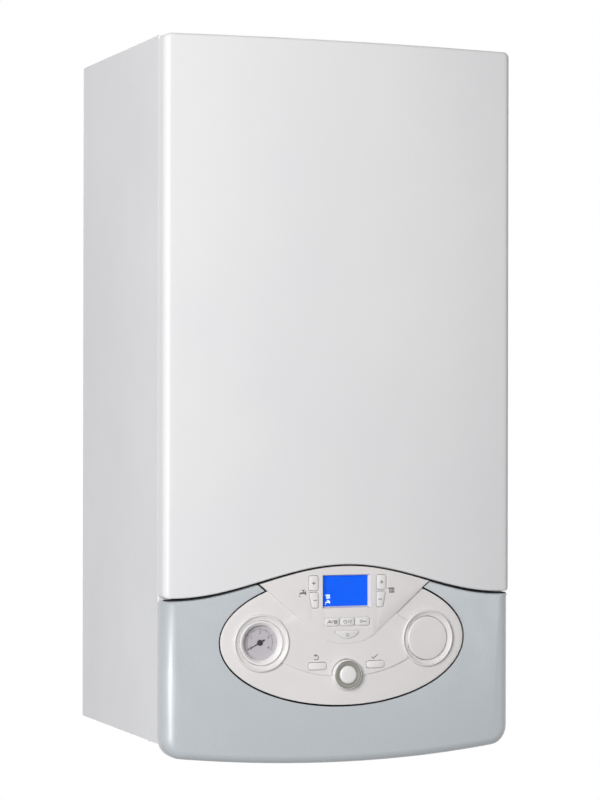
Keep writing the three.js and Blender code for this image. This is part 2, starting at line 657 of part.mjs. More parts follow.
/** Raised field between the two collars, with an arched lower edge. */
function fieldOutline() {
  const path = new THREE.Path();
  path.moveTo(57, 134);
  path.lineTo(DIAL_X - 21, DIAL_HEIGHT + 18);
  path.lineTo(DIAL_X - 24, DIAL_HEIGHT - 18);
  path.lineTo(72.5, 84.6);
  path.quadraticCurveTo(42, 67.4, 0, 67.4);
  path.quadraticCurveTo(-42, 67.4, -72.5, 84.6);
  path.lineTo(24 - DIAL_X, DIAL_HEIGHT - 18);
  path.lineTo(21 - DIAL_X, DIAL_HEIGHT + 18);
  path.lineTo(-57, 134);
  return path.getPoints(6).map((point) => [point.x, point.y]);
}

const PLUS_KEY = roundedPolygon([[-5, -7.8], [5, -7.8], [5, 7.8], [-5, 7.8]], 1.6, 1);
const MINUS_KEY = roundedPolygon([[-0.6, -8.3], [5, -8.3], [5, 8.3], [-4.8, 8.3]], 1.2, 1);
const BAR_KEY = roundedPolygon([[-7.9, -4.2], [7.9, -4.2], [7.9, 4.2], [-7.9, 4.2]], 1.8, 1);
const POWER_KEY = roundedPolygon([[-13.2, 4.3], [-6.8, -4.3], [6.8, -4.3], [13.2, 4.3]], 3);
const PILL_KEY = roundedPolygon([[-10, -3.8], [10, -3.8], [10, 3.8], [-10, 3.8]], 2.4, 1);
const mirrored = (outline) => outline.map(([x, z]) => [-x, z]).reverse();

const BUTTONS = [
  { name: 'hot_water_plus_button', x: -38.2, z: 167.5, outline: PLUS_KEY, ground: SHIELD_LIFT },
  { name: 'hot_water_minus_button', x: -38.1, z: 149.4, outline: MINUS_KEY, ground: SHIELD_LIFT },
  { name: 'heating_plus_button', x: 39.9, z: 167.3, outline: PLUS_KEY, ground: SHIELD_LIFT },
  { name: 'heating_minus_button', x: 39.6, z: 149, outline: mirrored(MINUS_KEY), ground: SHIELD_LIFT },
  { name: 'mode_button', x: -17.3, z: 125.8, outline: BAR_KEY, ground: SHIELD_LIFT },
  { name: 'program_button', x: 0.2, z: 125.8, outline: BAR_KEY, ground: SHIELD_LIFT },
  { name: 'reset_button', x: 17.6, z: 125.8, outline: BAR_KEY, ground: SHIELD_LIFT },
  { name: 'power_button', x: 0.3, z: 112.1, outline: POWER_KEY, ground: SHIELD_LIFT },
  { name: 'back_button', x: -33.5, z: 79.3, outline: PILL_KEY, ground: FIELD_LIFT },
  { name: 'confirm_button', x: 33.3, z: 79.3, outline: PILL_KEY, ground: FIELD_LIFT },
];

const DIAL_SIDES = 22;
const COLLAR = [
  [SEAT_RADIUS, -MOULDED_WALL],
  [COLLAR_RADIUS - 1, -MOULDED_WALL],
  [COLLAR_RADIUS, 0],
  [COLLAR_RADIUS - 1.4, COLLAR_LIFT * 0.7],
  [COLLAR_RADIUS - 4, COLLAR_LIFT],
  [SEAT_RADIUS + 0.8, COLLAR_LIFT],
  [SEAT_RADIUS, COLLAR_LIFT - 0.8],
  [SEAT_RADIUS, -MOULDED_WALL],
];
const ORIGIN = new THREE.Vector3();
const LUG_ANGLES = [20, 160, 200, 235, 270, 305, 340];
const LUG_HALF = 5;
const LUG_REACH = 5;

function addControlPanel() {
  const outline = ovalOutline(-OVAL_GAP / 2);
  const inside = elevation(outlineShape(outline), CASE_DEPTH, FRONT_DEPTH + 10);
  const base = frontPad(outline, 0, MOULDED_WALL);
  const shield = frontPad(shieldOutline(), -SHIELD_LIFT, MOULDED_WALL / 2);
  const field = frontPad(fieldOutline(), -FIELD_LIFT, MOULDED_WALL / 2);
  const collars = [-DIAL_X, DIAL_X].map((x) => onFront(revolve(COLLAR, ORIGIN, FORWARD, DIAL_SIDES), x, DIAL_HEIGHT));
  const seats = [-DIAL_X, DIAL_X].map((x) => {
    const seat = cylinder(SEAT_RADIUS, 30, new THREE.Vector3(0, 15, 0), FORWARD, DIAL_SIDES);
    return onFront(seat, x, DIAL_HEIGHT);
  });
  const windowOutline = outlineShape(rectangle(DISPLAY_WIDTH / 2, DISPLAY_LOW, DISPLAY_LOW + DISPLAY_HEIGHT));
  const window = elevation(windowOutline, CASE_DEPTH, FRONT_DEPTH + FRONT_CLEAR);
  const keyHoles = BUTTONS.map(({ x, z, outline: key }) => {
    const hole = elevation(outlineShape(grownOutline(key, BUTTON_GAP)), -15, 15);
    return onFront(hole, x, z);
  });
  const wellDepth = 0.8;
  const well = cylinder(KNOB_RADIUS + KNOB_WELL_GAP, 20, at(0, FRONT_DEPTH - wellDepth, KNOB_HEIGHT), FORWARD, 24);
  const shaftHole = cylinder(KNOB_SHAFT_RADIUS + 1, 40, at(0, FRONT_DEPTH - 20, KNOB_HEIGHT), FORWARD, 16);
  const rimBack = MOULDED_WALL + 2.3;
  const lugs = LUG_ANGLES.map((degrees) => panelLug(radians(degrees), rimBack));
  const plate = join([base, shield, field]).intersect(inside);
  const moulding = cut(join([plate, ...lugs]), seats);
  const whole = cut(moulding.add(join(collars)), [window, well, shaftHole, ...keyHoles]);
  addPiece('control_panel', whole, WARM_WHITE_PLASTIC);
}

const rectangle = (half, low, high) => [[-half, low], [half, low], [half, high], [-half, high]];

/** A lug on the panel's rim that reaches behind the fascia's wall, at an angle round the oval. */
function panelLug(angle, back) {
  const front = MOULDED_WALL + FIT_GAP;
  const x = OVAL_HALF_WIDTH * Math.cos(angle);
  const z = OVAL_HEIGHT + OVAL_HALF_HEIGHT * Math.sin(angle);
  const out = new THREE.Vector2(Math.cos(angle) / OVAL_HALF_WIDTH, Math.sin(angle) / OVAL_HALF_HEIGHT).normalize();
  const corner = (along, reach) => [x + out.x * reach - out.y * along, z + out.y * reach + out.x * along];
  const patch = (inner, outer) =>
    [corner(-LUG_HALF, inner), corner(-LUG_HALF, outer), corner(LUG_HALF, outer), corner(LUG_HALF, inner)];
  const root = frontPad(patch(-5, -2), 1, back);
  return frontPad(patch(-5, LUG_REACH), front, back).add(root);
}

const BOARD_LOW = 60;
const BOARD_HIGH = 170;

function addDisplay() {
  const gap = FIT_GAP;
  const front = FRONT_DEPTH + SHIELD_LIFT - DISPLAY_RECESS;
  const half = DISPLAY_WIDTH / 2;
  const lensShape = outlineShape(rectangle(half - gap, DISPLAY_LOW + gap, DISPLAY_LOW + DISPLAY_HEIGHT - gap));
  addPiece('display_lens', elevation(lensShape, front - 1.2, front), CLEAR);
  const boardFront = FRONT_DEPTH - 7.6;
  const boardBack = boardFront - 1.6;
  const board = box([-62, 62], [-boardFront, -boardBack], [BOARD_LOW, BOARD_HIGH]);
  const glass = box([-half - 2, half + 2], [-front + 1.5, -boardBack], [DISPLAY_LOW - 2, DISPLAY_LOW + DISPLAY_HEIGHT + 2]);
  const encoder = cylinder(7.5, 4.5, at(0, boardBack, KNOB_HEIGHT), FORWARD, 16);
  const bore = cylinder(KNOB_SHAFT_RADIUS + FIT_GAP, 30, at(0, boardBack - 10, KNOB_HEIGHT), FORWARD, 16);
  const posts = [-1, 1].flatMap((side) =>
    [BOARD_LOW + 4, BOARD_HIGH - 4].map((z) => {
      const x = side * 57;
      return cylinder(2.5, frontDepth(x) - MOULDED_WALL - FIT_GAP - 0.2 - boardBack, at(x, boardBack, z), FORWARD, 8);
    }),
  );
  addPiece('display_module', cut(join([board, glass, encoder, ...posts]), [bore]), BOARD_GREEN);
}

function addButtons() {
  const back = -MOULDED_WALL - FIT_GAP - 1;
  const bevel = 0.5;
  for (const { name, x, z, outline, ground } of BUTTONS) {
    const group = frontGroup(x, z);
    const front = ground + BUTTON_PROUD;
    const options = { depth: front - back - 2 * bevel, bevelThickness: bevel, bevelSize: bevel };
    const shape = outlineShape(outline);
    const key = new THREE.ExtrudeGeometry(shape, { ...options, bevelOffset: -bevel, bevelSegments: 1 });
    const body = solidOf(key.translate(0, 0, back + bevel).applyMatrix4(ELEVATION));
    const flange = elevation(outlineShape(grownOutline(outline, 0.7)), back, back + 1);
    addPiece(name, body.add(flange), ICE_WHITE_PLASTIC, group);
  }
}

function addSelector() {
  const group = frontGroup(0, KNOB_HEIGHT);
  const floor = -0.5;
  const ringFloor = KNOB_PROUD - 2;
  const seat = ringFloor + FIT_GAP;
  const body = [
    [0, -9],
    [KNOB_SHAFT_RADIUS, -9],
    [KNOB_SHAFT_RADIUS, floor],
    [KNOB_RADIUS, floor],
    [KNOB_RADIUS, 1.2],
    [KNOB_FACE_RADIUS + 0.7, KNOB_PROUD - 0.8],
    [KNOB_FACE_RADIUS + 0.3, KNOB_PROUD - 0.4],
    [KNOB_FACE_RADIUS, ringFloor],
    [0, ringFloor],
  ];
  addPiece('selector_body', revolve(body, ORIGIN, FORWARD, DIAL_SIDES), ICE_WHITE_PLASTIC, group);
  const inner = KNOB_CAP_RADIUS + FIT_GAP;
  const outer = KNOB_FACE_RADIUS - FIT_GAP;
  const ring = [
    [inner, seat],
    [outer, seat],
    [outer, KNOB_PROUD - 0.6],
    [outer - 0.6, KNOB_PROUD],
    [inner + 0.4, KNOB_PROUD],
    [inner, KNOB_PROUD - 0.4],
    [inner, seat],
  ];
  addPiece('selector_ring', revolve(ring, ORIGIN, FORWARD, DIAL_SIDES), RING_GREY, group);
  const top = KNOB_PROUD + KNOB_CAP_PROUD;
  const cap = [
    [0, seat],
    [KNOB_CAP_RADIUS, seat],
    [KNOB_CAP_RADIUS, KNOB_PROUD],
    [KNOB_CAP_RADIUS - 0.8, top - 0.7],
    [KNOB_CAP_RADIUS - 3, top - 0.15],
    [0, top],
  ];
  addPiece('selector_cap', revolve(cap, ORIGIN, FORWARD, 20), ICE_WHITE_PLASTIC, group);
}

const DIAL_FACE = -5; // level of the gauge's dial behind the panel's base
const NEEDLE_BORE = 1.3;

function addGauge() {
  const group = frontGroup(-DIAL_X, DIAL_HEIGHT);
  const rim = SEAT_RADIUS - FIT_GAP;
  const housing = [
    [0, -GAUGE_DEPTH],
    [SEAT_RADIUS - 3, -GAUGE_DEPTH],
    [SEAT_RADIUS - 3, -MOULDED_WALL],
    [rim, -MOULDED_WALL],
    [rim, COLLAR_LIFT - 1.2],
    [rim - 0.6, COLLAR_LIFT - 0.8],
    [rim - 1.6, COLLAR_LIFT - 0.8],
    [GAUGE_WINDOW_RADIUS, -1],
    [GAUGE_WINDOW_RADIUS, DIAL_FACE],
    [0, DIAL_FACE],
  ];
  const pin = cylinder(NEEDLE_BORE - FIT_GAP, 2, new THREE.Vector3(0, -DIAL_FACE + 0.2, 0), FORWARD, 8);
  addPiece('gauge_body', revolve(housing, ORIGIN, FORWARD, DIAL_SIDES).add(pin), ICE_WHITE_PLASTIC, group);
  const glassBack = new THREE.Vector3(0, 2.9, 0);
  addPiece('gauge_glass', cylinder(GAUGE_WINDOW_RADIUS - FIT_GAP, 1.2, glassBack, FORWARD, DIAL_SIDES), CLEAR, group);
  const needleBack = DIAL_FACE + FIT_GAP;
  const outline = outlineShape([[-6, -0.9], [-2, -0.8], [16, -0.25], [16, 0.25], [-2, 0.8], [-6, 0.9]]);
  const hub = cylinder(2.7, 0.9, new THREE.Vector3(0, -needleBack, 0), FORWARD, 12);
  const bore = cylinder(NEEDLE_BORE, 6, new THREE.Vector3(0, 2 - needleBack, 0), FORWARD, 8);
  const needle = cut(elevation(outline, needleBack, needleBack + 0.5).add(hub), [bore]);
  const turned = needle.rotate([0, -NEEDLE_REST_ANGLE, 0]);
  addPiece('gauge_needle', turned, DARK_PLASTIC, group);
}

function addTimerBlank() {
  const group = frontGroup(DIAL_X, DIAL_HEIGHT);
  const outer = SEAT_RADIUS - FIT_GAP - 0.1;
  const face = COLLAR_LIFT - 0.7;
  const profile = [
    [0, face - 1.8],
    [outer - 1.8, face - 1.8],
    [outer - 1.8, -MOULDED_WALL - 4],
    [outer, -MOULDED_WALL - 4],
    [outer, face - 0.6],
    [outer - 0.6, face],
    [0, face],
  ];
  addPiece('timer_blank', revolve(profile, ORIGIN, FORWARD, DIAL_SIDES), WARM_WHITE_PLASTIC, group);
}

// ---------- control box ----------

function addControlBox() {
  const half = BOX_HALF_WIDTH;
  const wall = BOX_WALL;
  const outer = box([-half, half], [-BOX_FRONT, -BOX_BACK], [BOX_LOW, BOX_HIGH]);
  const insideX = [wall - half, half - wall];
  const inner = box(insideX, [wall - BOX_FRONT, 5 - BOX_BACK], [BOX_LOW + wall, BOX_HIGH - wall]);
  const boardFront = BOX_FRONT - wall - 10;
  const corners = [-1, 1].flatMap((side) => [BOX_LOW + 14, BOX_HIGH - 14].map((z) => [side * (half - 14), z]));
  const posts = corners.map(([x, z]) => cylinder(3.5, 10.5, at(x, boardFront + FIT_GAP, z), FORWARD, 8));
  const lug = pivotLug(BOX_FRONT, BOX_FRONT - 20, BOX_LOW + 2, BOX_LOW + 24);
  const arm = sideProfile(lug, half - 1, ARM_X + 3, 5);
  addPiece('control_box', join([cut(outer, [inner]), ...posts, arm, mirrorX(arm)]), DARK_PLASTIC);

  const coverY = [FIT_GAP - BOX_BACK, FIT_GAP + wall - BOX_BACK];
  const cover = box([-half, half], coverY, [BOX_LOW, BOX_HIGH]);
  const step = FIT_GAP + wall;
  const lip = box([step - half, half - step], [-4 - BOX_BACK, coverY[0] + 1], [BOX_LOW + step, BOX_HIGH - step]);
  const lipInside = box([2 * step - half, half - 2 * step], [-9 - BOX_BACK, coverY[0]], [BOX_LOW + 2 * step, BOX_HIGH - 2 * step]);
  addPiece('control_box_cover', cover.add(cut(lip, [lipInside])), DARK_PLASTIC);

  const inset = wall + 6;
  const board = box([inset - half, half - inset], [-boardFront, 1.6 - boardFront], [BOX_LOW + inset, BOX_HIGH - inset]);
  const back = 1.2 - boardFront;
  const transformer = box([-120, -75], [back, back + 24], [40, 82]);
  const relays = [0, 1, 2, 3].map((i) => box([i * 28, i * 28 + 16], [back, back + 16], [88, 110]));
  const plugs = [0, 1, 2, 3, 4].map((i) => box([i * 26 - 40, i * 26 - 22], [back, back + 12], [28, 38]));
  addPiece('main_board', join([board, transformer, ...relays, ...plugs]), BOARD_GREEN);
}

// ---------- flue ----------

const DUCT_TOP = CASE_HEIGHT - 3;
const DUCT_BOTTOM = EXCHANGER_HEIGHT + EXCHANGER_RADIUS + 8;

function addFlue() {
  const top = CASE_HEIGHT + FLUE_STANDS;
  const seat = TOP_PLATE_TOP + FIT_GAP;
  const flange = sleeve(AIR_RADIUS + 16, AIR_RADIUS, 3, at(0, FLUE_DEPTH, seat), UP, 18);
  const airSocket = sleeve(AIR_RADIUS + FLUE_WALL, AIR_RADIUS, top - seat, at(0, FLUE_DEPTH, seat), UP, 18);
  const low = DUCT_TOP + FIT_GAP;
  const fluePipe = sleeve(FLUE_RADIUS + FLUE_WALL, FLUE_RADIUS, top - low, at(0, FLUE_DEPTH, low), UP, 18);
  const ribs = [0, 120, 240].map((degrees) => {
    const rib = box([FLUE_RADIUS + 1, AIR_RADIUS + 1], [-1.5, 1.5], [seat, seat + 5]);
    return rib.rotate([0, 0, degrees]).translate([0, -FLUE_DEPTH, 0]);
  });
  addPiece('flue_collar', join([flange, airSocket, fluePipe, ...ribs]), WHITE_PAINT);
  const base = at(0, FLUE_DEPTH, DUCT_BOTTOM + FIT_GAP);
  const length = DUCT_TOP - DUCT_BOTTOM - FIT_GAP;
  const seam = sleeve(FLUE_RADIUS + FLUE_WALL + 2, FLUE_RADIUS, 8, base, UP, 18);
  addPiece('exhaust_duct', sleeve(FLUE_RADIUS + FLUE_WALL, FLUE_RADIUS, length, base, UP, 18).add(seam), GREY_PLASTIC);
}

// ---------- combustion ----------

const PORT_RADIUS = 12;
const PORT_X = 60;
const PORT_DEPTH = 130;
const PORT_BOTTOM = EXCHANGER_HEIGHT - 93;
const DRAIN_X = -20;
const DRAIN_DEPTH = 190;
const DRAIN_BOTTOM = EXCHANGER_HEIGHT - 105;

function addHeatExchanger() {
  const length = EXCHANGER_FRONT - EXCHANGER_BACK;
  const turns = 3;
  const pitch = (length - 24) / turns;
  const profile = [[0, 0], [EXCHANGER_RADIUS, 0], [EXCHANGER_RADIUS, 12]];
  for (let turn = 0; turn < turns; turn++) {
    const start = 12 + turn * pitch;
    profile.push([EXCHANGER_RADIUS - 5, start + 3], [EXCHANGER_RADIUS - 5, start + pitch - 3]);
    profile.push([EXCHANGER_RADIUS, start + pitch]);
  }
  profile.push([EXCHANGER_RADIUS, length], [0, length]);
  const drum = revolve(profile, at(0, EXCHANGER_BACK, EXCHANGER_HEIGHT), FORWARD, 18);
  const plateY = [-EXCHANGER_BACK, 1.5 - EXCHANGER_BACK];
  const carrier = box([-PLATE_HALF, PLATE_HALF], plateY, [EXCHANGER_HEIGHT - 25, EXCHANGER_HEIGHT + 25]);
  const reach = EXCHANGER_HEIGHT - PORT_BOTTOM - 40;
  const ports = [-1, 1].map((side) => cylinder(PORT_RADIUS, reach, at(side * PORT_X, PORT_DEPTH, PORT_BOTTOM), UP, 8));
  const drain = cylinder(10, 30, at(DRAIN_X, DRAIN_DEPTH, DRAIN_BOTTOM), UP, 8);
  const outletHeight = DUCT_BOTTOM - 30;
  const outlet = cylinder(FLUE_RADIUS + 6, 30, at(0, FLUE_DEPTH, outletHeight), UP, 16);
  const bore = cylinder(FLUE_RADIUS, 26, at(0, FLUE_DEPTH, outletHeight + 6), UP, 16);
  const whole = join([drum, carrier, ...ports, drain, outlet]);
  addPiece('heat_exchanger', cut(whole, [bore]), CAST_ALUMINIUM);
}

const FAN_X = 105;
const FAN_HEIGHT = EXCHANGER_HEIGHT - 170;
const FAN_RADIUS = 60;
const FAN_BACK = 150;
const FAN_THICKNESS = 52;
const CHANNEL_RADIUS = 18;
const CHANNEL_X = FAN_X + FAN_RADIUS - CHANNEL_RADIUS;
const CHANNEL_FOOT = FAN_HEIGHT + FAN_RADIUS + 2;

function addBurner() {
  const doorBack = EXCHANGER_FRONT + FIT_GAP;
  const door = revolve([[0, 0], [92, 0], [92, 8], [84, 14], [0, 14]], at(0, doorBack, EXCHANGER_HEIGHT), FORWARD, 18);
  const fanDepth = FAN_BACK + FAN_THICKNESS / 2;
  const channelDepth = 285;
  const channel = bentRod(CHANNEL_RADIUS, [
    [CHANNEL_X, -fanDepth, CHANNEL_FOOT + FIT_GAP],
    [CHANNEL_X, -fanDepth, EXCHANGER_HEIGHT],
    [CHANNEL_X, -channelDepth, EXCHANGER_HEIGHT],
    [0, -channelDepth, EXCHANGER_HEIGHT],
    [0, -doorBack - 5, EXCHANGER_HEIGHT],
  ], 22, 8);
  addPiece('burner_door', door.add(channel), CAST_ALUMINIUM);
  const electrode = [[0, 0], [9, 0], [9, 4], [5, 4], [5, 22], [2, 24], [2, 34], [0, 34]];
  const foot = at(-52, doorBack + 14 + FIT_GAP, EXCHANGER_HEIGHT + 42);
  addPiece('ignition_electrode', revolve(electrode, foot, FORWARD, 8), ICE_WHITE_PLASTIC);
}

const MIXER_RADIUS = 28;

function addFan() {
  const centre = at(FAN_X, FAN_BACK, FAN_HEIGHT);
  const volute = [[0, 0], [FAN_RADIUS - 4, 0], [FAN_RADIUS, 4], [FAN_RADIUS, FAN_THICKNESS - 4]];
  volute.push([FAN_RADIUS - 4, FAN_THICKNESS], [0, FAN_THICKNESS]);
  const outletBase = at(CHANNEL_X, FAN_BACK + FAN_THICKNESS / 2, FAN_HEIGHT);
  const outlet = cylinder(CHANNEL_RADIUS + 3, CHANNEL_FOOT - FAN_HEIGHT, outletBase, UP, 16);
  addPiece('fan_housing', revolve(volute, centre, FORWARD, 18).add(outlet), CAST_ALUMINIUM);
  const motorBase = at(FAN_X, FAN_BACK + FAN_THICKNESS + FIT_GAP, FAN_HEIGHT);
  const motor = [[0, 0], [42, 0], [42, 6], [36, 8], [36, 34], [30, 40], [0, 40]];
  addPiece('fan_motor', revolve(motor, motorBase, FORWARD, 16), DARK_PLASTIC);
  const mixerDepth = FAN_BACK - FIT_GAP;
  const throat = [
    [MIXER_RADIUS - 10, 0],
    [MIXER_RADIUS, 0],
    [MIXER_RADIUS, 6],
    [MIXER_RADIUS - 6, 24],
    [MIXER_RADIUS - 2, 52],
    [MIXER_RADIUS - 5, 52],
    [MIXER_RADIUS - 13, 24],
    [MIXER_RADIUS - 10, 0],
  ];
  const mixer = revolve(throat, at(FAN_X, mixerDepth, FAN_HEIGHT), BACK, 16);
  const inlet = cylinder(9, 22, at(FAN_X - MIXER_RADIUS - 8, mixerDepth - 24, FAN_HEIGHT), RIGHT, 8);
  addPiece('gas_mixer', mixer.add(inlet.subtract(cylinder(15, 90, at(FAN_X, mixerDepth + 20, FAN_HEIGHT), BACK))), CAST_ALUMINIUM);
}

const GAS_DEPTH = 160;
const GAS_VALVE_LOW = FAN_HEIGHT - 135;
const GAS_VALVE_HEIGHT = 84;

function addGasTrain() {
  const low = GAS_VALVE_LOW + FIT_GAP;
  const high = low + GAS_VALVE_HEIGHT;
  const body = box([-32, 32], [-GAS_DEPTH - 34, 30 - GAS_DEPTH], [low, high]);
  const coils = [-16, 16].map((x) => cylinder(13, 24, at(x, GAS_DEPTH + 33, low + 50), FORWARD, 12));
  const mixerDepth = FAN_BACK - FIT_GAP - 24;
  const feed = bentRod(7, [
    [0, -GAS_DEPTH, high - 5],
    [0, -GAS_DEPTH, FAN_HEIGHT],
    [0, -mixerDepth, FAN_HEIGHT],
    [FAN_X - MIXER_RADIUS - 8 - FIT_GAP, -mixerDepth, FAN_HEIGHT],
  ], 12, 6);
  addPiece('gas_valve', join([body, ...coils, feed]), CAST_ALUMINIUM);
  const pipe = bentRod(TAP_TAIL_RADIUS, [
    [0, -TAIL_DEPTH, 16 + FIT_GAP],
    [0, -TAIL_DEPTH, 38],
    [0, -GAS_DEPTH, 38],
    [0, -GAS_DEPTH, GAS_VALVE_LOW],
  ], 14, 8);
  addPiece('gas_pipe', pipe, COPPER);
}

// ---------- water ----------

const BLOCK_HALF = 88;
const BLOCK_LOW = 62;
const BLOCK_HIGH = 112;
const BLOCK_BACK = 58;
const BLOCK_FRONT = 128;
const PIPE_RADIUS = 9;
const TOP_RUN = PORT_BOTTOM - 32;

function addPlateExchanger() {
  const plates = 9;
  const pitch = (BLOCK_HIGH - BLOCK_LOW) / plates;
  const layers = Array.from({ length: plates }, (_, i) => {
    const margin = i % 2 ? 2 : 0;
    const x = BLOCK_HALF - margin;
    const low = BLOCK_LOW + i * pitch;
    return box([-x, x], [margin - BLOCK_FRONT, -BLOCK_BACK - margin], [low, low + pitch]);
  });
  addPiece('plate_heat_exchanger', join(layers), GALVANISED);
}

function addFlowGroup() {
  const x = -2 * TAIL_PITCH;
  const edge = -BLOCK_HALF - FIT_GAP;
  const block = box([x - 18, edge], [-BLOCK_FRONT, -BLOCK_BACK], [50, 118]);
  const neck = cylinder(15, 40, at(x, TAIL_DEPTH, 16 + FIT_GAP), UP, 12);
  const port = cylinder(14, 10, at(x - 4, 110, 112), UP, 12);
  addPiece('flow_block', join([block, neck, port]), BRASS);
  const motor = [[0, 0], [15, 0], [15, 34], [11, 40], [0, 40]];
  addPiece('diverter_motor', revolve(motor, at(x + 26, 84, 118 + FIT_GAP), UP, 12), DARK_PLASTIC);
  const route = [[x - 4, -110, 122 + FIT_GAP], [x - 4, -110, TOP_RUN]];
  route.push([-PORT_X, -PORT_DEPTH, TOP_RUN], [-PORT_X, -PORT_DEPTH, PORT_BOTTOM - FIT_GAP]);
  addPiece('flow_pipe', bentRod(PIPE_RADIUS, route, 18, 8), COPPER);
}

const PUMP_X = 144;
const PUMP_HEIGHT = 98;
const PUMP_RADIUS = 38;
const RETURN_X = 160;

function addReturnGroup() {
  const volute = [[0, 0], [PUMP_RADIUS - 5, 0], [PUMP_RADIUS, 6], [PUMP_RADIUS, 50], [PUMP_RADIUS - 4, 56], [0, 56]];
  const drum = revolve(volute, at(PUMP_X, 76, PUMP_HEIGHT), FORWARD, 18);
  const block = box([BLOCK_HALF + FIT_GAP, 2 * TAIL_PITCH], [-BLOCK_FRONT, -BLOCK_BACK], [BLOCK_LOW, BLOCK_HIGH]);
  const neck = cylinder(15, 60, at(2 * TAIL_PITCH, TAIL_DEPTH, 16 + FIT_GAP), UP, 12);
  const port = cylinder(13, 60, at(RETURN_X, 105, PUMP_HEIGHT), UP, 10);
  const vent = revolve([[0, 0], [9, 0], [9, 50], [5, 54], [0, 54]], at(PUMP_X - 26, 105, PUMP_HEIGHT), UP, 8);
  addPiece('pump_body', join([drum, block, neck, port, vent]), CAST_ALUMINIUM);
  const motor = [[0, 0], [34, 0], [34, 50], [30, 56], [14, 56], [14, 60], [0, 60]];
  addPiece('pump_motor', revolve(motor, at(PUMP_X, 132 + FIT_GAP, PUMP_HEIGHT), FORWARD, 18), DARK_PLASTIC);
  const route = [[RETURN_X, -105, PUMP_HEIGHT + 60 + FIT_GAP], [RETURN_X, -105, TOP_RUN + 4]];
  route.push([PORT_X, -PORT_DEPTH, TOP_RUN + 4], [PORT_X, -PORT_DEPTH, PORT_BOTTOM - FIT_GAP]);
  addPiece('return_pipe', bentRod(PIPE_RADIUS, route, 18, 8), COPPER);
}

const RELIEF_HEIGHT = 78;

function addSafetyValve() {
  const start = BLOCK_FRONT + FIT_GAP;
  const body = cylinder(11, 30, at(RELIEF_X, start, RELIEF_HEIGHT), FORWARD, 12);
  const outlet = cylinder(RELIEF_RADIUS, RELIEF_HEIGHT + 12, at(RELIEF_X, RELIEF_DEPTH, -12), UP, 8);
  addPiece('safety_valve', body.add(outlet), BRASS);
  const capDepth = start + 30 + FIT_GAP;
  const cap = revolve([[0, 0], [14, 0], [14, 9], [11, 12], [0, 12]], at(RELIEF_X, capDepth, RELIEF_HEIGHT), FORWARD, 12);
  const grip = box([RELIEF_X - 2.5, RELIEF_X + 2.5], [-capDepth - 17, -capDepth - 11], [RELIEF_HEIGHT - 11, RELIEF_HEIGHT + 11]);
  addPiece('safety_valve_cap', cap.add(grip), RED_PLASTIC);
}

function addExpansionVessel() {
  const r = VESSEL_RADIUS;
  const d = VESSEL_DEPTH;
  const profile = [[0, 0], [r - 40, 0], [r - 10, d * 0.12], [r - 3, d * 0.4], [r, d * 0.42]];
  profile.push([r, d * 0.5], [r - 3, d * 0.52], [r - 10, d * 0.86], [r - 40, d], [0, d]);
  addPiece('expansion_vessel', revolve(profile, at(0, SHEET + FIT_GAP, VESSEL_HEIGHT), FORWARD, 18), RED_PAINT);
}

function addCondensateTrap() {
  const seat = BOTTOM_PLATE_HEIGHT + SHEET + FIT_GAP;
  const end = TRAP_OUTLET_END - seat;
  const profile = [[0, end], [TRAP_OUTLET_RADIUS, end], [TRAP_OUTLET_RADIUS, 0], [20, 0]];
  profile.push([22, 4], [22, 150], [12, 168], [0, 168]);
  const bottle = revolve(profile, at(TRAP_X, TRAP_DEPTH, seat), UP, 12);
  const turn = DRAIN_BOTTOM - 55;
  const hose = bentRod(7, [
    [TRAP_X, -TRAP_DEPTH, seat + 160],
    [TRAP_X, -TRAP_DEPTH, turn],
    [DRAIN_X, -DRAIN_DEPTH, turn],
    [DRAIN_X, -DRAIN_DEPTH, DRAIN_BOTTOM - FIT_GAP],
  ], 22);
  addPiece('condensate_trap', bottle.add(hose), GREY_PLASTIC);
}

function addTails() {
  const seat = BOTTOM_PLATE_HEIGHT + SHEET + FIT_GAP;
  for (const { name, place, radius, top } of TAILS) {
    const bore = radius - TAIL_WALL;
    const base = at(place * TAIL_PITCH, TAIL_DEPTH, TAIL_END);
    const profile = [[0, 20], [bore, 20], [bore, 0], [radius, 0], [radius, top - TAIL_END], [0, top - TAIL_END]];
    const nut = cylinder(radius + 5, 9, at(place * TAIL_PITCH, TAIL_DEPTH, seat), UP, 6);
    addPiece(name, revolve(profile, base, UP, 10).add(nut), COPPER);
  }
}

const FILLING_X = 1.5 * TAIL_PITCH;

function addFillingTap() {
  const top = BOTTOM_PLATE_HEIGHT - FIT_GAP;
  const body = cylinder(8, 22, at(FILLING_X, TAIL_DEPTH, top - 22), UP, 10);
  const axisHeight = top - 14;
  const stem = cylinder(5, 14, at(FILLING_X, TAIL_DEPTH, axisHeight), FORWARD, 10);
  addPiece('filling_tap', body.add(stem), BRASS);
  const start = TAIL_DEPTH + 14 + FIT_GAP;
  const hub = cylinder(7, 10, at(FILLING_X, start, axisHeight), FORWARD, 10);
  const lever = box([FILLING_X - 12, FILLING_X + 12], [-start - 10, -start - 4], [axisHeight - 3, axisHeight + 3]);
  addPiece('filling_tap_handle', hub.add(lever), BLUE_PLASTIC);
}

addBackPlate();
addSidePanels();
addTopPlate();
addBottomPlate();
addHingePins();
addFrontCasing();
addFascia();
addControlPanel();
addDisplay();
addButtons();
addSelector();
addGauge();
addTimerBlank();
addControlBox();
addFlue();
addHeatExchanger();
addBurner();
addFan();
addGasTrain();
addPlateExchanger();
addFlowGroup();
addReturnGroup();
addSafetyValve();
addExpansionVessel();
addCondensateTrap();
addTails();
addFillingTap();

export default boiler;
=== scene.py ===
import json
import math

import bmesh
import bpy
from mathutils import Matrix, Vector

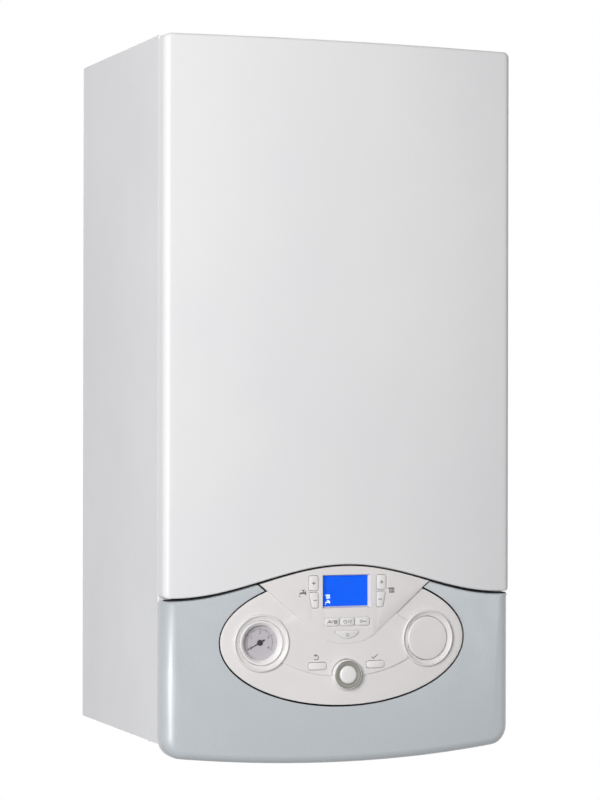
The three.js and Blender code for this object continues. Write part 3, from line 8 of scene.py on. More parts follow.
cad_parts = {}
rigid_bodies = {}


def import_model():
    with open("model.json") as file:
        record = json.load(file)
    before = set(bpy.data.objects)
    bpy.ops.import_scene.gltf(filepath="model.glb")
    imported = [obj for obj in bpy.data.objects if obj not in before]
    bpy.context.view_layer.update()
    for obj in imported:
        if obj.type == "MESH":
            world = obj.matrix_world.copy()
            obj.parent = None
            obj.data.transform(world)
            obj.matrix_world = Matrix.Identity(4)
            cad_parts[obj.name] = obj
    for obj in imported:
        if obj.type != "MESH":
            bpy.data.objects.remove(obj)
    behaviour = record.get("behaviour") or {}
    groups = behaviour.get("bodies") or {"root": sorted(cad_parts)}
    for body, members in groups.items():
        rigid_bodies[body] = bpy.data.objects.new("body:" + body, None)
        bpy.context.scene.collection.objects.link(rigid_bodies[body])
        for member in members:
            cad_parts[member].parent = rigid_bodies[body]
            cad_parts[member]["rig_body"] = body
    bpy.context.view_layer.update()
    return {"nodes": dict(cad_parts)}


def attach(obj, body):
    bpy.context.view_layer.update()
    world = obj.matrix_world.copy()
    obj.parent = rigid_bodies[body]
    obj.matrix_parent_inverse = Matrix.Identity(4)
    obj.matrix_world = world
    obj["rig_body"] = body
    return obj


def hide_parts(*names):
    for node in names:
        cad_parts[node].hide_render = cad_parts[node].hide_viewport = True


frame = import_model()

# A wall-hung combi boiler. Shapes are drawn in millimetres in case coordinates: x = 0 at mid width, y = 0 on the
# wall with the front facing -y, and z = 0 at the lower edge of the side panels. IN_FRAME puts them into the frame.

SCENE = bpy.context.scene
IN_FRAME = Matrix.Scale(0.001, 4) @ Matrix.Translation((0, 0, -372.5))

CASE_HALF = 200
CASE_HEIGHT = 745
CASE_DEPTH = 278  # wall to the front edge of the side panels
FRONT_DEPTH = 312.2  # wall to the front face at mid width
BOW_RADIUS = 1473
SHEET = 1.2
GAP = 0.3
WALL = 2.6  # of the plastic mouldings

SEAM_LOW = 152.7
SEAM_RISE = 34.3
SEAM_HALF_SPAN = 190
SEAM_GAP = 4
FASCIA_DIP = 24.9
FASCIA_ARC_RADIUS = 1724

OVAL_HEIGHT = 106
OVAL_HALF_WIDTH = 140.7
OVAL_HALF_HEIGHT = 70
OVAL_GAP = 1.9
NOTCH_X = 90
NOTCH_TOP_X = 99.2

SHIELD_LIFT = 2.2
FIELD_LIFT = 1.5
DIAL_X = 95.5
DIAL_HEIGHT = 105.3
COLLAR_RADIUS = 30.5
SEAT_RADIUS = 23.9
COLLAR_LIFT = 3.2
WINDOW_RADIUS = 18.5
NEEDLE_REST_ANGLE = 209.4

DISPLAY_HALF = 27.5
DISPLAY_LOW = 140.7
DISPLAY_HIGH = 175.7
DISPLAY_RECESS = 3.6
LCD_HALF = 25.4
LCD_LOW = 142.6
LCD_HIGH = 174.4
KEY_GAP = 0.4
KEY_PROUD = 1.4
KNOB_HEIGHT = 69.5
KNOB_RADIUS = 16.2
KNOB_FACE_RADIUS = 14.8
KNOB_CAP_RADIUS = 9.6
KNOB_PROUD = 7
KNOB_CAP_PROUD = 1.6


def front_depth(x):
    """Distance of the bowed front face from the wall."""
    return FRONT_DEPTH - BOW_RADIUS + math.sqrt(BOW_RADIUS**2 - x**2)


def seam_height(x):
    """Middle of the arched gap between the casing and the fascia."""
    share = min(abs(x) / SEAM_HALF_SPAN, 1)
    return SEAM_LOW + SEAM_RISE * (1 + math.cos(math.pi * share)) / 2


def casing_low(x):
    """Lower edge of the casing: the gap under it is 2.7 mm on the flanks and 1.6 mm at mid width."""
    return seam_height(x) + SEAM_GAP / 2 - 1.3 - 1.1 * (seam_height(x) - SEAM_LOW) / SEAM_RISE


def fascia_low(x):
    return FASCIA_ARC_RADIUS - math.sqrt(FASCIA_ARC_RADIUS**2 - x**2) - FASCIA_DIP


def on_front(x, z):
    """Places a piece on the bowed front, square to it, with its -y facing out."""
    turn = Matrix.Rotation(math.asin(x / BOW_RADIUS), 4, "Z")
    return Matrix.Translation((x, -front_depth(x), z)) @ turn


# ---------- materials ----------


def linear(colour):
    """An sRGB hex colour as linear RGBA."""
    parts = [int(colour[i : i + 2], 16) / 255 for i in (1, 3, 5)]
    return [p / 12.92 if p <= 0.04045 else ((p + 0.055) / 1.055) ** 2.4 for p in parts] + [1]


def add(tree, kind, sockets=None, **settings):
    """Adds a node. Its settings are attributes, and its sockets are values or other nodes' output sockets."""
    made = tree.nodes.new("ShaderNode" + kind)
    for name, value in settings.items():
        setattr(made, name, value)
    for name, value in (sockets or {}).items():
        if isinstance(value, bpy.types.NodeSocket):
            tree.links.new(value, made.inputs[name])
        else:
            made.inputs[name].default_value = value
    return made


def per_mm(size):
    """The texture scale that gives features of this size, where coordinates are metres."""
    return 1000 / size


def surface(name, colour, roughness, metallic=0.0, **shader):
    """A new material: its tree, its shader and its object coordinates."""
    material = bpy.data.materials.new(name)
    material.use_nodes = True
    material.diffuse_color = linear(colour)
    tree = material.node_tree
    tree.nodes.clear()
    values = {"Base Color": linear(colour), "Roughness": roughness, "Metallic": metallic}
    shade = add(tree, "BsdfPrincipled", {**values, **shader})
    output = add(tree, "OutputMaterial", {"Surface": shade.outputs["BSDF"]})
    output.is_active_output = True
    place = add(tree, "TexCoord").outputs["Object"]
    return material, tree, shade, place


def noise(tree, place, size, detail=3, roughness=0.5):
    """Cloudy noise with patches of this size in millimetres."""
    sockets = {"Vector": place, "Scale": per_mm(size), "Detail": detail, "Roughness": roughness}
    return add(tree, "TexNoise", sockets).outputs["Fac"]


def ramp(tree, factor, *stops):
    """A colour ramp of (position, hex colour) stops."""
    made = add(tree, "ValToRGB", {"Fac": factor})
    elements = made.color_ramp.elements
    while len(elements) < len(stops):
        elements.new(0.5)
    for element, (position, colour) in zip(elements, stops):
        element.position = position
        element.color = linear(colour)
    return made.outputs["Color"]


def span(tree, factor, low, high):
    """The factor's middle spread over a range of values."""
    sockets = {"Value": factor, "From Min": 0.3, "From Max": 0.7, "To Min": low, "To Max": high}
    return add(tree, "MapRange", sockets).outputs["Result"]


def relief(tree, shade, height, depth, strength=1.0):
    """Bump of this depth in millimetres on the shader."""
    bump = add(tree, "Bump", {"Height": height, "Distance": depth / 1000, "Strength": strength})
    tree.links.new(bump.outputs["Normal"], shade.inputs["Normal"])


def moulded(name, colour, worn, roughness, grain=0.6, depth=0.012, **shader):
    """Injection-moulded plastic: an even colour with a faint flow mottle, and the fine grain of an eroded tool."""
    material, tree, shade, place = surface(name, colour, roughness, **shader)
    tree.links.new(ramp(tree, noise(tree, place, 60), (0.35, worn), (0.65, colour)), shade.inputs["Base Color"])
    tree.links.new(span(tree, noise(tree, place, 18), roughness - 0.04, roughness + 0.06), shade.inputs["Roughness"])
    relief(tree, shade, noise(tree, place, grain, 2), depth)
    return material


def coated(name, colour, shade_colour, roughness=0.34, depth=0.009):
    """Sheet steel with a baked powder coat: a satin skin with a soft orange peel of about 2 mm."""
    material, tree, shade, place = surface(name, colour, roughness, **{"Specular IOR Level": 0.35})
    tint = ramp(tree, noise(tree, place, 220), (0.3, shade_colour), (0.7, colour))
    tree.links.new(tint, shade.inputs["Base Color"])
    tree.links.new(span(tree, noise(tree, place, 35), roughness - 0.03, roughness + 0.05), shade.inputs["Roughness"])
    relief(tree, shade, noise(tree, place, 2.2, 2), depth)
    return material


def lacquered(name, colour, dark, roughness=0.36):
    """
    ABS sprayed with a silver lacquer: metal flakes under a satin clear coat give a sheen that turns with the light.
    The real flakes are finer, and these are drawn 0.9 mm across so that they show.
    """
    shader = {"Metallic": 0.35, "Coat Weight": 0.5, "Coat Roughness": 0.16}
    material, tree, shade, place = surface(name, colour, roughness, **shader)
    flakes = add(tree, "TexVoronoi", {"Vector": place, "Scale": per_mm(0.9)}).outputs["Distance"]
    sheen = add(tree, "MixRGB", {"Fac": 0.12, "Color1": linear(colour)}, blend_type="MULTIPLY")
    tree.links.new(ramp(tree, flakes, (0.1, "#FFFFFF"), (0.7, dark)), sheen.inputs["Color2"])
    tree.links.new(sheen.outputs["Color"], shade.inputs["Base Color"])
    tree.links.new(span(tree, noise(tree, place, 25), roughness - 0.05, roughness + 0.07), shade.inputs["Roughness"])
    relief(tree, shade, flakes, 0.006)
    return material


def galvanised(name):
    """Hot-dip galvanised sheet: a dull grey zinc skin with crystals of spangle about 9 mm across."""
    material, tree, shade, place = surface(name, "#A9ADB0", 0.42, 0.85)
    spangle = add(tree, "TexVoronoi", {"Vector": place, "Scale": per_mm(9), "Randomness": 1.0})
    facet = add(tree, "RGBToBW", {"Color": spangle.outputs["Color"]}).outputs["Val"]
    tree.links.new(ramp(tree, facet, (0.2, "#9AA0A4"), (0.8, "#BCC0C2")), shade.inputs["Base Color"])
    tree.links.new(span(tree, facet, 0.34, 0.5), shade.inputs["Roughness"])
    relief(tree, shade, noise(tree, place, 1.2, 2), 0.01)
    return material


def cast(name, colour, dark, roughness=0.52):
    """Die-cast aluminium: a matt grey skin, sandy to the touch, with cloudy flow marks."""
    material, tree, shade, place = surface(name, colour, roughness, 0.9)
    tree.links.new(ramp(tree, noise(tree, place, 30, 5), (0.3, dark), (0.7, colour)), shade.inputs["Base Color"])
    tree.links.new(span(tree, noise(tree, place, 12), roughness - 0.07, roughness + 0.08), shade.inputs["Roughness"])
    relief(tree, shade, noise(tree, place, 0.8, 4, 0.7), 0.06)
    return material


def drawn(name, colour, tarnish, roughness=0.28):
    """Drawn or machined copper alloy: a bright metal with clouds of brown tarnish and faint marks of the die."""
    material, tree, shade, place = surface(name, colour, roughness, 1.0)
    tree.links.new(ramp(tree, noise(tree, place, 22, 6), (0.38, tarnish), (0.62, colour)), shade.inputs["Base Color"])
    tree.links.new(span(tree, noise(tree, place, 9), roughness - 0.08, roughness + 0.14), shade.inputs["Roughness"])
    relief(tree, shade, noise(tree, place, 0.7, 2), 0.006)
    return material


def laminate(name):
    """Glass-fibre circuit board: green solder mask with faint copper tracks below it, about 1.3 mm apart."""
    material, tree, shade, place = surface(name, "#2F6B45", 0.35)
    tracks = add(tree, "TexBrick", {
        "Vector": place, "Scale": per_mm(30), "Color1": linear("#2F6B45"), "Color2": linear("#2A6140"),
        "Mortar": linear("#3E8055"), "Mortar Size": 0.02, "Brick Width": 0.3, "Row Height": 0.08,
    })
    tree.links.new(tracks.outputs["Color"], shade.inputs["Base Color"])
    relief(tree, shade, tracks.outputs["Fac"], 0.02)
    return material


def clear(name, tint="#30363A"):
    """Clear polycarbonate window: a thin see-through skin with a faint gloss."""
    material, tree, shade, place = surface(name, tint, 0.03, **{"Alpha": 0.08, "IOR": 1.49})
    tree.links.new(span(tree, noise(tree, place, 8), 0.02, 0.06), shade.inputs["Roughness"])
    return material


PIXEL_PITCH = 0.0004  # metres


def lit_display(name):
    """Backlit liquid-crystal glass: a bright blue field that glows a little, with its pixel grid of 0.4 mm."""
    shader = {"Emission Strength": 0.45, "Specular IOR Level": 0.05}
    material, tree, shade, place = surface(name, "#0064FF", 0.5, **shader)
    where = add(tree, "SeparateXYZ", {"Vector": place}).outputs
    grid = [
        add(tree, "Math", {0: where[axis], 1: PIXEL_PITCH}, operation="PINGPONG").outputs["Value"]
        for axis in ("X", "Z")
    ]
    edge = add(tree, "Math", {0: grid[0], 1: grid[1]}, operation="MINIMUM").outputs["Value"]
    share = add(tree, "Math", {0: edge, 1: 5000.0}, operation="MULTIPLY").outputs["Value"]
    field = ramp(tree, share, (0.05, "#0050D8"), (0.25, "#005CF0"))
    tree.links.new(field, shade.inputs["Base Color"])
    tree.links.new(field, shade.inputs["Emission Color"])
    return material


CASE_WHITE = coated("powder_coated_steel", "#DCDCDC", "#D8D8DA")
# The casing's white powder coat again, painted darker and cooler: painted shade, used on the side panels, the top
# plate and the flue collar.
PAINTED_SHADE_WHITE = coated("powder_coated_steel_painted_shade", "#D6D6D8", "#D0D0D4")
FASCIA_SILVER = lacquered("silver_lacquered_abs", "#B8BDC1", "#959CA1")
PANEL_WHITE = moulded("warm_white_abs", "#D9D6D5", "#D5D2D1", 0.36)
KEY_WHITE = moulded("ice_white_abs", "#DFDDDC", "#DAD8D7", 0.3, 0.5, 0.008)
RING_GREY = moulded("satin_grey_abs", "#8E8E86", "#86867E", 0.38, 0.5, **{"Metallic": 0.25})
INK_GREY = moulded("grey_pad_print", "#6A6A66", "#646460", 0.5, 0.4, 0.004)
INK_DARK = moulded("dark_pad_print", "#3C3C40", "#38383C", 0.5, 0.4, 0.004)
ICON_WHITE = moulded(
    "white_display_symbol", "#E4F0FF", "#DCEBFF", 0.5, 0.4, 0.004,
    **{"Emission Color": linear("#E4F0FF"), "Emission Strength": 0.5},
)
DIAL_LILAC = moulded("lilac_grey_dial_print", "#CFCAD0", "#C9C4CA", 0.45, 0.4, 0.006)
NEEDLE_BLACK = moulded("black_needle_plastic", "#2A2A2A", "#242424", 0.45, 0.5, 0.008)
HOUSING_DARK = moulded("dark_grey_glass_filled_nylon", "#303234", "#2A2C2E", 0.55, 0.9, 0.03)
DUCT_GREY = moulded("grey_polypropylene", "#8C8F92", "#85888B", 0.45, 0.9, 0.02)
CAP_RED = moulded("red_polypropylene", "#B3302A", "#A82C26", 0.42, 0.7, 0.015)
LEVER_BLUE = moulded("blue_polypropylene", "#2F5F9E", "#2A5894", 0.42, 0.7, 0.015)
CERAMIC = moulded("glazed_alumina", "#E8E4DA", "#E2DED4", 0.22, 1.5, 0.01)
ZINC = galvanised("galvanised_sheet")
CASTING = cast("die_cast_aluminium", "#A8ABAE", "#979A9D")
COPPER = drawn("drawn_copper_pipe", "#C07C4C", "#9A5E3A")
BRASS = drawn("machined_brass", "#C2A35C", "#A48745", 0.32)
VESSEL_RED = coated("red_stoved_enamel", "#A03028", "#942B24", 0.3, 0.012)
BOARD = laminate("green_circuit_board")
WINDOW = clear("clear_polycarbonate")
LCD = lit_display("blue_liquid_crystal_glass")
# Black for the strip in the gap under the casing: painted shadow.
SHADOW_BLACK = moulded("gap_painted_shadow_black", "#0C0C0D", "#090909", 0.9, 0.8, 0.05)


# ---------- making shapes ----------


def piece(name, form, material, body, stands_for=(), crease=35):
    """Makes a bmesh in case millimetres into a shown piece that rides on a body of the frame."""
    bmesh.ops.remove_doubles(form, verts=form.verts, dist=0.002)
    bmesh.ops.recalc_face_normals(form, faces=form.faces)
    form.transform(IN_FRAME)
    mesh = bpy.data.meshes.new(name)
    form.to_mesh(mesh)
    form.free()
    mesh.shade_smooth()
    mesh.set_sharp_from_angle(angle=math.radians(crease))
    mesh.materials.append(material)
    made = bpy.data.objects.new(name, mesh)
    SCENE.collection.objects.link(made)
    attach(made, body)
    if stands_for:
        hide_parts(*stands_for)
    return made


def new_form():
    return bmesh.new()


def block(form, x, y, z, edge=0.0):
    """A box between (low, high) limits, with its edges rounded by edge."""
    size = [b - a for a, b in (x, y, z)]
    middle = [(a + b) / 2 for a, b in (x, y, z)]
    place = Matrix.Translation(middle) @ Matrix.Diagonal((*size, 1))
    verts = bmesh.ops.create_cube(form, size=1, matrix=place)["verts"]
    if edge:
        edges = {e for v in verts for e in v.link_edges}
        bmesh.ops.bevel(form, geom=list(edges), offset=edge, segments=2, profile=0.5, affect="EDGES")


def bridge(form, ring_a, ring_b):
    count = len(ring_a)
    for i in range(count):
        j = (i + 1) % count
        form.faces.new((ring_a[i], ring_a[j], ring_b[j], ring_b[i]))


def lathe(form, profile, place=Matrix(), sides=72):
    """A turned form: (radius, height) points of its section, round the axis that points along local -y."""
    rings = []
    for radius, height in profile:
        if radius < 0.01:
            rings.append([form.verts.new(place @ Vector((0, -height, 0)))])
            continue
        angles = [2 * math.pi * i / sides for i in range(sides)]
        points = [Vector((radius * math.cos(a), -height, radius * math.sin(a))) for a in angles]
        rings.append([form.verts.new(place @ point) for point in points])
    for low, high in zip(rings, rings[1:]):
        if len(low) == len(high) == 1:
            continue
        if len(low) == 1 or len(high) == 1:
            tip, ring = (low[0], high) if len(low) == 1 else (high[0], low)
            for i, vertex in enumerate(ring):
                form.faces.new((tip, vertex, ring[(i + 1) % sides]))
        else:
            bridge(form, low, high)


def rounded(points, radius, steps=5):
    """A polygon with its corners rounded."""
    out = []
    for i, corner in enumerate(points):
        corner = Vector(corner)
        before = (Vector(points[i - 1]) - corner).normalized() * radius + corner
        after = (Vector(points[(i + 1) % len(points)]) - corner).normalized() * radius + corner
        for step in range(steps + 1):
            t = step / steps
            out.append(before * (1 - t) ** 2 + corner * 2 * t * (1 - t) + after * t * t)
    return [tuple(p) for p in out]


def circle(x, z, radius, sides=64):
    turns = [2 * math.pi * i / sides for i in range(sides)]
    return [(x + radius * math.cos(a), z + radius * math.sin(a)) for a in turns]


def area(points):
    return sum(a[0] * b[1] - b[0] * a[1] for a, b in zip(points, points[1:] + points[:1])) / 2


def grown(points, distance):
    """An outline moved outward by a distance."""
    side = 1 if area(points) > 0 else -1
    out = []
    for i, (x, z) in enumerate(points):
        before = (Vector((x, z)) - Vector(points[i - 1])).normalized()
        after = (Vector(points[(i + 1) % len(points)]) - Vector((x, z))).normalized()
        reach = side * distance / (1 + before.dot(after))
        out.append((x + (before.y + after.y) * reach, z - (before.x + after.x) * reach))
    return out


def plate(form, outlines, low, high, edge=0.0, place=None, bow_step=5.0):
    """
    A plate with these (x, z) outlines, the first one outside and the others holes, between two levels in front of
    a face. With a place it is flat there. Without, it is bent to the bowed front, whose face is level 0.
    """
    curve = bpy.data.curves.new("outline", "CURVE")
    curve.dimensions = "2D"
    curve.fill_mode = "BOTH"
    curve.extrude = (high - low) / 2 - edge
    curve.bevel_depth = edge
    curve.bevel_resolution = 1
    for number, points in enumerate(outlines):
        turned = points if (area(points) > 0) == (number == 0) else points[::-1]
        turned = grown(turned, -edge if number == 0 else edge) if edge else turned
        spline = curve.splines.new("POLY")
        spline.points.add(len(turned) - 1)
        spline.use_cyclic_u = True
        for point, (x, z) in zip(spline.points, turned):
            point.co = (x, z, 0, 1)
    holder = bpy.data.objects.new("outline", curve)
    mesh = bpy.data.meshes.new_from_object(holder)
    bpy.data.objects.remove(holder)
    bpy.data.curves.remove(curve)
    flat = bmesh.new()
    flat.from_mesh(mesh)
    bpy.data.meshes.remove(mesh)
    bmesh.ops.remove_doubles(flat, verts=flat.verts, dist=0.002)
    if place is None:
        xs = [x for x, _ in outlines[0]]
        x = math.floor(min(xs) / bow_step) * bow_step
        while x < max(xs):
            everything = flat.verts[:] + flat.edges[:] + flat.faces[:]
            bmesh.ops.bisect_plane(flat, geom=everything, plane_co=(x, 0, 0), plane_no=(1, 0, 0), dist=0.001)
            x += bow_step
    middle = (low + high) / 2
    for vertex in flat.verts:
        x, z, level = vertex.co
        if place is None:
            vertex.co = (x, -front_depth(x) - level - middle, z)
        else:
            vertex.co = place @ Vector((x, -level - middle, z))
    flat.to_mesh(mesh := bpy.data.meshes.new("flat"))
    flat.free()
    form.from_mesh(mesh)
    bpy.data.meshes.remove(mesh)


def edge_chain(form, edge, turn, inset, angle, steps, columns):
    """The upper or lower edge of a bowed front piece, at one step of the rounding from its sides to its face."""
    radius = lambda size: max(size - inset, 0.4)
    drawn_in = lambda size: radius(size) * (1 - math.cos(angle))
    behind = lambda size: radius(size) * (1 - math.sin(angle))
    side_round, round_, height_at = form["side_round"], edge["round"], edge["height_at"]
    reach = form["half"] - inset - drawn_in(side_round)
    corner = max(edge["corner"] - inset - drawn_in(min(side_round, round_)), 0.5)
    height = lambda x: height_at(x) - turn * (inset + drawn_in(round_))
    left = [(-reach, form["side_height"], behind(side_round))]
    for i in range(steps + 1):
        share = i / steps
        turned = share * math.pi / 2
        x = -reach + corner * (1 - math.cos(turned))
        z = height(reach - corner) - turn * corner * (1 - math.sin(turned))
        left.append((x, z, behind(side_round) * (1 - share) + behind(round_) * share))
    xs = [(reach - corner) * (2 * i / columns - 1) for i in range(1, columns)]
    middle = [(x, height(x), behind(round_)) for x in xs]
    right = [(-x, z, b) for x, z, b in reversed(left)]
    return left + middle + right


def bowed_rings(made, form, back, inset, steps=6, columns=72, rounds=7):
    """Rings of vertices from a back plane round the edges to the bowed face."""
    layers = [(0, lambda p: back)]
    for step in range(rounds + 1):
        layers.append((step / rounds * math.pi / 2, lambda p: front_depth(p[0]) - inset - p[2]))
    rings = []
    for angle, depth_of in layers:
        upper = edge_chain(form, form["upper"], 1, inset, angle, steps, columns)
        lower = edge_chain(form, form["lower"], -1, inset, angle, steps, columns)
        ring = upper + lower[-2:0:-1]
        rings.append([made.verts.new((p[0], -depth_of(p), p[1])) for p in ring])
    return rings


def bowed_shell(made, form, back, wall):
    """A hollow front piece, open at the back, with a rounded edge all round."""
    shells = [bowed_rings(made, form, back, inset) for inset in (0, wall)]
    for rings in shells:
        for low, high in zip(rings, rings[1:]):
            bridge(made, low, high)
        face = rings[-1]
        half = len(face) // 2
        lower = lambda i: face[i] if i in (0, half) else face[len(face) - i]
        for i in range(half):
            corners = [face[i], face[i + 1], lower(i + 1), lower(i)]
            made.faces.new(list(dict.fromkeys(corners)))
    bridge(made, shells[0][0], shells[1][0])


def carved(target, cutter):
    """Cuts one bmesh from another."""
    pieces = []
    for form in (target, cutter):
        bmesh.ops.recalc_face_normals(form, faces=form.faces)
        mesh = bpy.data.meshes.new("carving")
        form.to_mesh(mesh)
        form.free()
        made = bpy.data.objects.new("carving", mesh)
        SCENE.collection.objects.link(made)
        pieces.append(made)
    body, tool = pieces
    change = body.modifiers.new("cut", "BOOLEAN")
    change.operation = "DIFFERENCE"
    change.solver = "EXACT"
    change.object = tool
    shape = bpy.data.meshes.new_from_object(body.evaluated_get(bpy.context.evaluated_depsgraph_get()))
    result = bmesh.new()
    result.from_mesh(shape)
    for made in pieces:
        bpy.data.objects.remove(made)
    return result


# ---------- case ----------


def prism(form, outline, front, back):
    """A straight prism of an (x, z) outline between two distances from the wall."""
    ends = [[form.verts.new((x, -depth, z)) for x, z in outline] for depth in (front, back)]
    bridge(form, *ends)
    for end in ends:
        form.faces.new(end)


def folded(form, section, low, high):
    """A folded sheet: its (x, y) section carried up from one height to another."""
    ends = [[form.verts.new((x, y, z)) for x, y in section] for z in (low, high)]
    bridge(form, *ends)
    for end in ends:
        form.faces.new(end)


def make_side_panels():
    bend = 1.8
    outer = [(CASE_HALF, 0), (CASE_HALF, bend - CASE_DEPTH)]
    turns = [math.pi / 2 * i / 6 for i in range(1, 7)]
    outer += [(CASE_HALF - bend * (1 - math.cos(a)), bend * (1 - math.sin(a)) - CASE_DEPTH) for a in turns]
    lip = CASE_HALF - 15
    back = -SHEET - GAP
    inner = [(lip, -CASE_DEPTH), (lip, SHEET - CASE_DEPTH)]
    inner += [(CASE_HALF - bend + 0.3, SHEET - CASE_DEPTH), (CASE_HALF - SHEET, bend - CASE_DEPTH)]
    inner += [(CASE_HALF - SHEET, back - SHEET), (lip, back - SHEET), (lip, back), (CASE_HALF - SHEET, back)]
    inner += [(CASE_HALF - SHEET, 0)]
    for side, name in ((-1, "left"), (1, "right")):
        form = new_form()
        folded(form, [(side * x, y) for x, y in outer + inner], 0, CASE_HEIGHT)
        piece(f"side_{name}_folded_sheet", form, PAINTED_SHADE_WHITE, "chassis", [f"side_panel_{name}"])


def make_casing():
    form = new_form()
    top = CASE_HEIGHT + 0.5
    shape = {
        "half": CASE_HALF, "side_height": CASE_HEIGHT * 0.6, "side_round": 7,
        "upper": {"corner": 7, "round": 4, "height_at": lambda x: top},
        "lower": {"corner": 5, "round": 2, "height_at": casing_low},
    }
    back = CASE_DEPTH + GAP
    bowed_shell(form, shape, back, SHEET)
    for side in (-1, 1):
        block(form, sorted((side * 199.5, side * 188)), (-back - SHEET, -back), (SEAM_LOW + 8, CASE_HEIGHT - 10))
        x = side * 110
        block(form, (x - 25, x + 25), (-back - 2, -264), (top - SHEET, top), 0.3)
        block(form, (x - 25, x + 25), (-264 - SHEET, -264), (top - 8, top), 0.3)
    piece("front_casing_pressing", form, CASE_WHITE, "casing", ["front_casing"])


def oval_outline(growth):
    """The gap round the oval panel: up to the arched seam at the top, and an ellipse below the finger tips."""
    points = []
    for i in range(33):
        x = NOTCH_TOP_X * (i / 16 - 1)
        points.append((x, seam_height(x) - (SEAM_GAP - OVAL_GAP) / 2))
    start = math.acos(NOTCH_X / OVAL_HALF_WIDTH)
    for i in range(121):
        angle = start - i / 120 * (math.pi + 2 * start)
        points.append((OVAL_HALF_WIDTH * math.cos(angle), OVAL_HEIGHT + OVAL_HALF_HEIGHT * math.sin(angle)))
    return grown(points, growth)


def make_fascia():
    form = new_form()
    shape = {
        "half": CASE_HALF + GAP, "side_height": SEAM_LOW / 2, "side_round": 13,
        "upper": {"corner": 3, "round": 2.5, "height_at": lambda x: seam_height(x) - SEAM_GAP / 2},
        "lower": {"corner": 22, "round": 9, "height_at": fascia_low},
    }
    back = CASE_DEPTH + GAP
    bowed_shell(form, shape, back, WALL)
    cutter = new_form()
    prism(cutter, oval_outline(OVAL_GAP / 2), CASE_DEPTH, FRONT_DEPTH + 10)
    form = carved(form, cutter)
    for place in (-1.5, -0.5, 0.5, 1.5):
        x = place * 45
        block(form, (x, x + 1.8), (-FRONT_DEPTH + 10, -back - 2), (-18, OVAL_HEIGHT - OVAL_HALF_HEIGHT - 6))
    for side in (-1, 1):
        lathe(form, [(0, 0), (5, 0), (5, 20), (0, 20)], Matrix.Translation((side * 135, -276.3, 22)), 24)
    piece("fascia_moulding", form, FASCIA_SILVER, "panel", ["fascia"])


STRIP_HEIGHT = 3  # of the painted shadow strip behind the oval panel's top
STRIP_THICKNESS = 0.8  # of the painted shadow strip that lies on the fascia's top edge


def make_seam_gasket():
    """A black strip in the gap under the casing: painted shadow, which makes the gap look black from one side of the
    boiler to the other.
    """
    steps = [NOTCH_TOP_X * (i / 16 - 1) for i in range(33)]
    top = [(x, seam_height(x) - SEAM_GAP / 2 - GAP) for x in steps]
    form = new_form()
    plate(form, [top + [(x, z - STRIP_HEIGHT) for x, z in reversed(top)]], -16, -WALL - 0.1)
    reach = CASE_HALF - 3
    steps = [reach * (i / 32 - 1) for i in range(65)]
    low = [(x, seam_height(x) - SEAM_GAP / 2 + GAP) for x in steps]
    plate(form, [low + [(x, z + STRIP_THICKNESS) for x, z in reversed(low)]], -14, -4)
    piece("seam_painted_shadow_strip", form, SHADOW_BLACK, "panel")


# ---------- control panel ----------

PLUS_KEY = rounded([(-5, -7.8), (5, -7.8), (5, 7.8), (-5, 7.8)], 2.2)
MINUS_KEY = rounded([(-1.6, -8.3), (5, -8.3), (5, 8.3), (-4.8, 8.3)], 2.2)
BAR_KEY = rounded([(-7.9, -4.2), (7.9, -4.2), (7.9, 4.2), (-7.9, 4.2)], 2.4)
POWER_KEY = rounded([(-13.2, 4.3), (-12.6, 1.2), (-7, -3), (0, -4.6), (7, -3), (12.6, 1.2), (13.2, 4.3)], 1.5, 3)
PILL_KEY = rounded([(-10, -3.8), (10, -3.8), (10, 3.8), (-10, 3.8)], 2.9)
KEY_ROUND = 0.6
COLLAR_LIP = 1.1  # radius of the rounded lip of the dials' collars
KEYS = [
    ("hot_water_plus", -38.2, 167.5, PLUS_KEY, SHIELD_LIFT),
    ("hot_water_minus", -38.1, 149.4, MINUS_KEY, SHIELD_LIFT),
    ("heating_plus", 39.9, 167.3, PLUS_KEY, SHIELD_LIFT),
    ("heating_minus", 39.6, 149, [(-x, z) for x, z in MINUS_KEY][::-1], SHIELD_LIFT),
    ("mode", -17.3, 125.8, BAR_KEY, SHIELD_LIFT),
    ("program", 0.2, 125.8, BAR_KEY, SHIELD_LIFT),
    ("reset", 17.6, 125.8, BAR_KEY, SHIELD_LIFT),
    ("power", 0.3, 112.1, POWER_KEY, SHIELD_LIFT),
    ("back", -33.5, 79.3, PILL_KEY, FIELD_LIFT),
    ("confirm", 33.3, 79.3, PILL_KEY, FIELD_LIFT),
]


def curve_through(start, control, end, steps=16):
    a, b, c = Vector(start), Vector(control), Vector(end)
    return [tuple(a * (1 - t) ** 2 + b * 2 * t * (1 - t) + c * t * t) for t in [i / steps for i in range(steps + 1)]]


def shield_outline():
    top = oval_outline(-OVAL_GAP / 2)[:33]
    right = curve_through((33.4, 112.6), (21, 102.3), (0, 102.3))
    return top + right + [(-x, z) for x, z in right[-2::-1]]


def field_outline():
    left = curve_through((-72.5, 84.6), (-42, 67.4), (0, 67.4))
    side = [(57, 134), (74.5, 123.3), (71.5, 87.3)]
    right = [(-x, z) for x, z in left]
    return side + right + left[-2::-1] + [(-x, z) for x, z in side[::-1]]


def rectangle(half, low, high):
    return [(-half, low), (half, low), (half, high), (-half, high)]


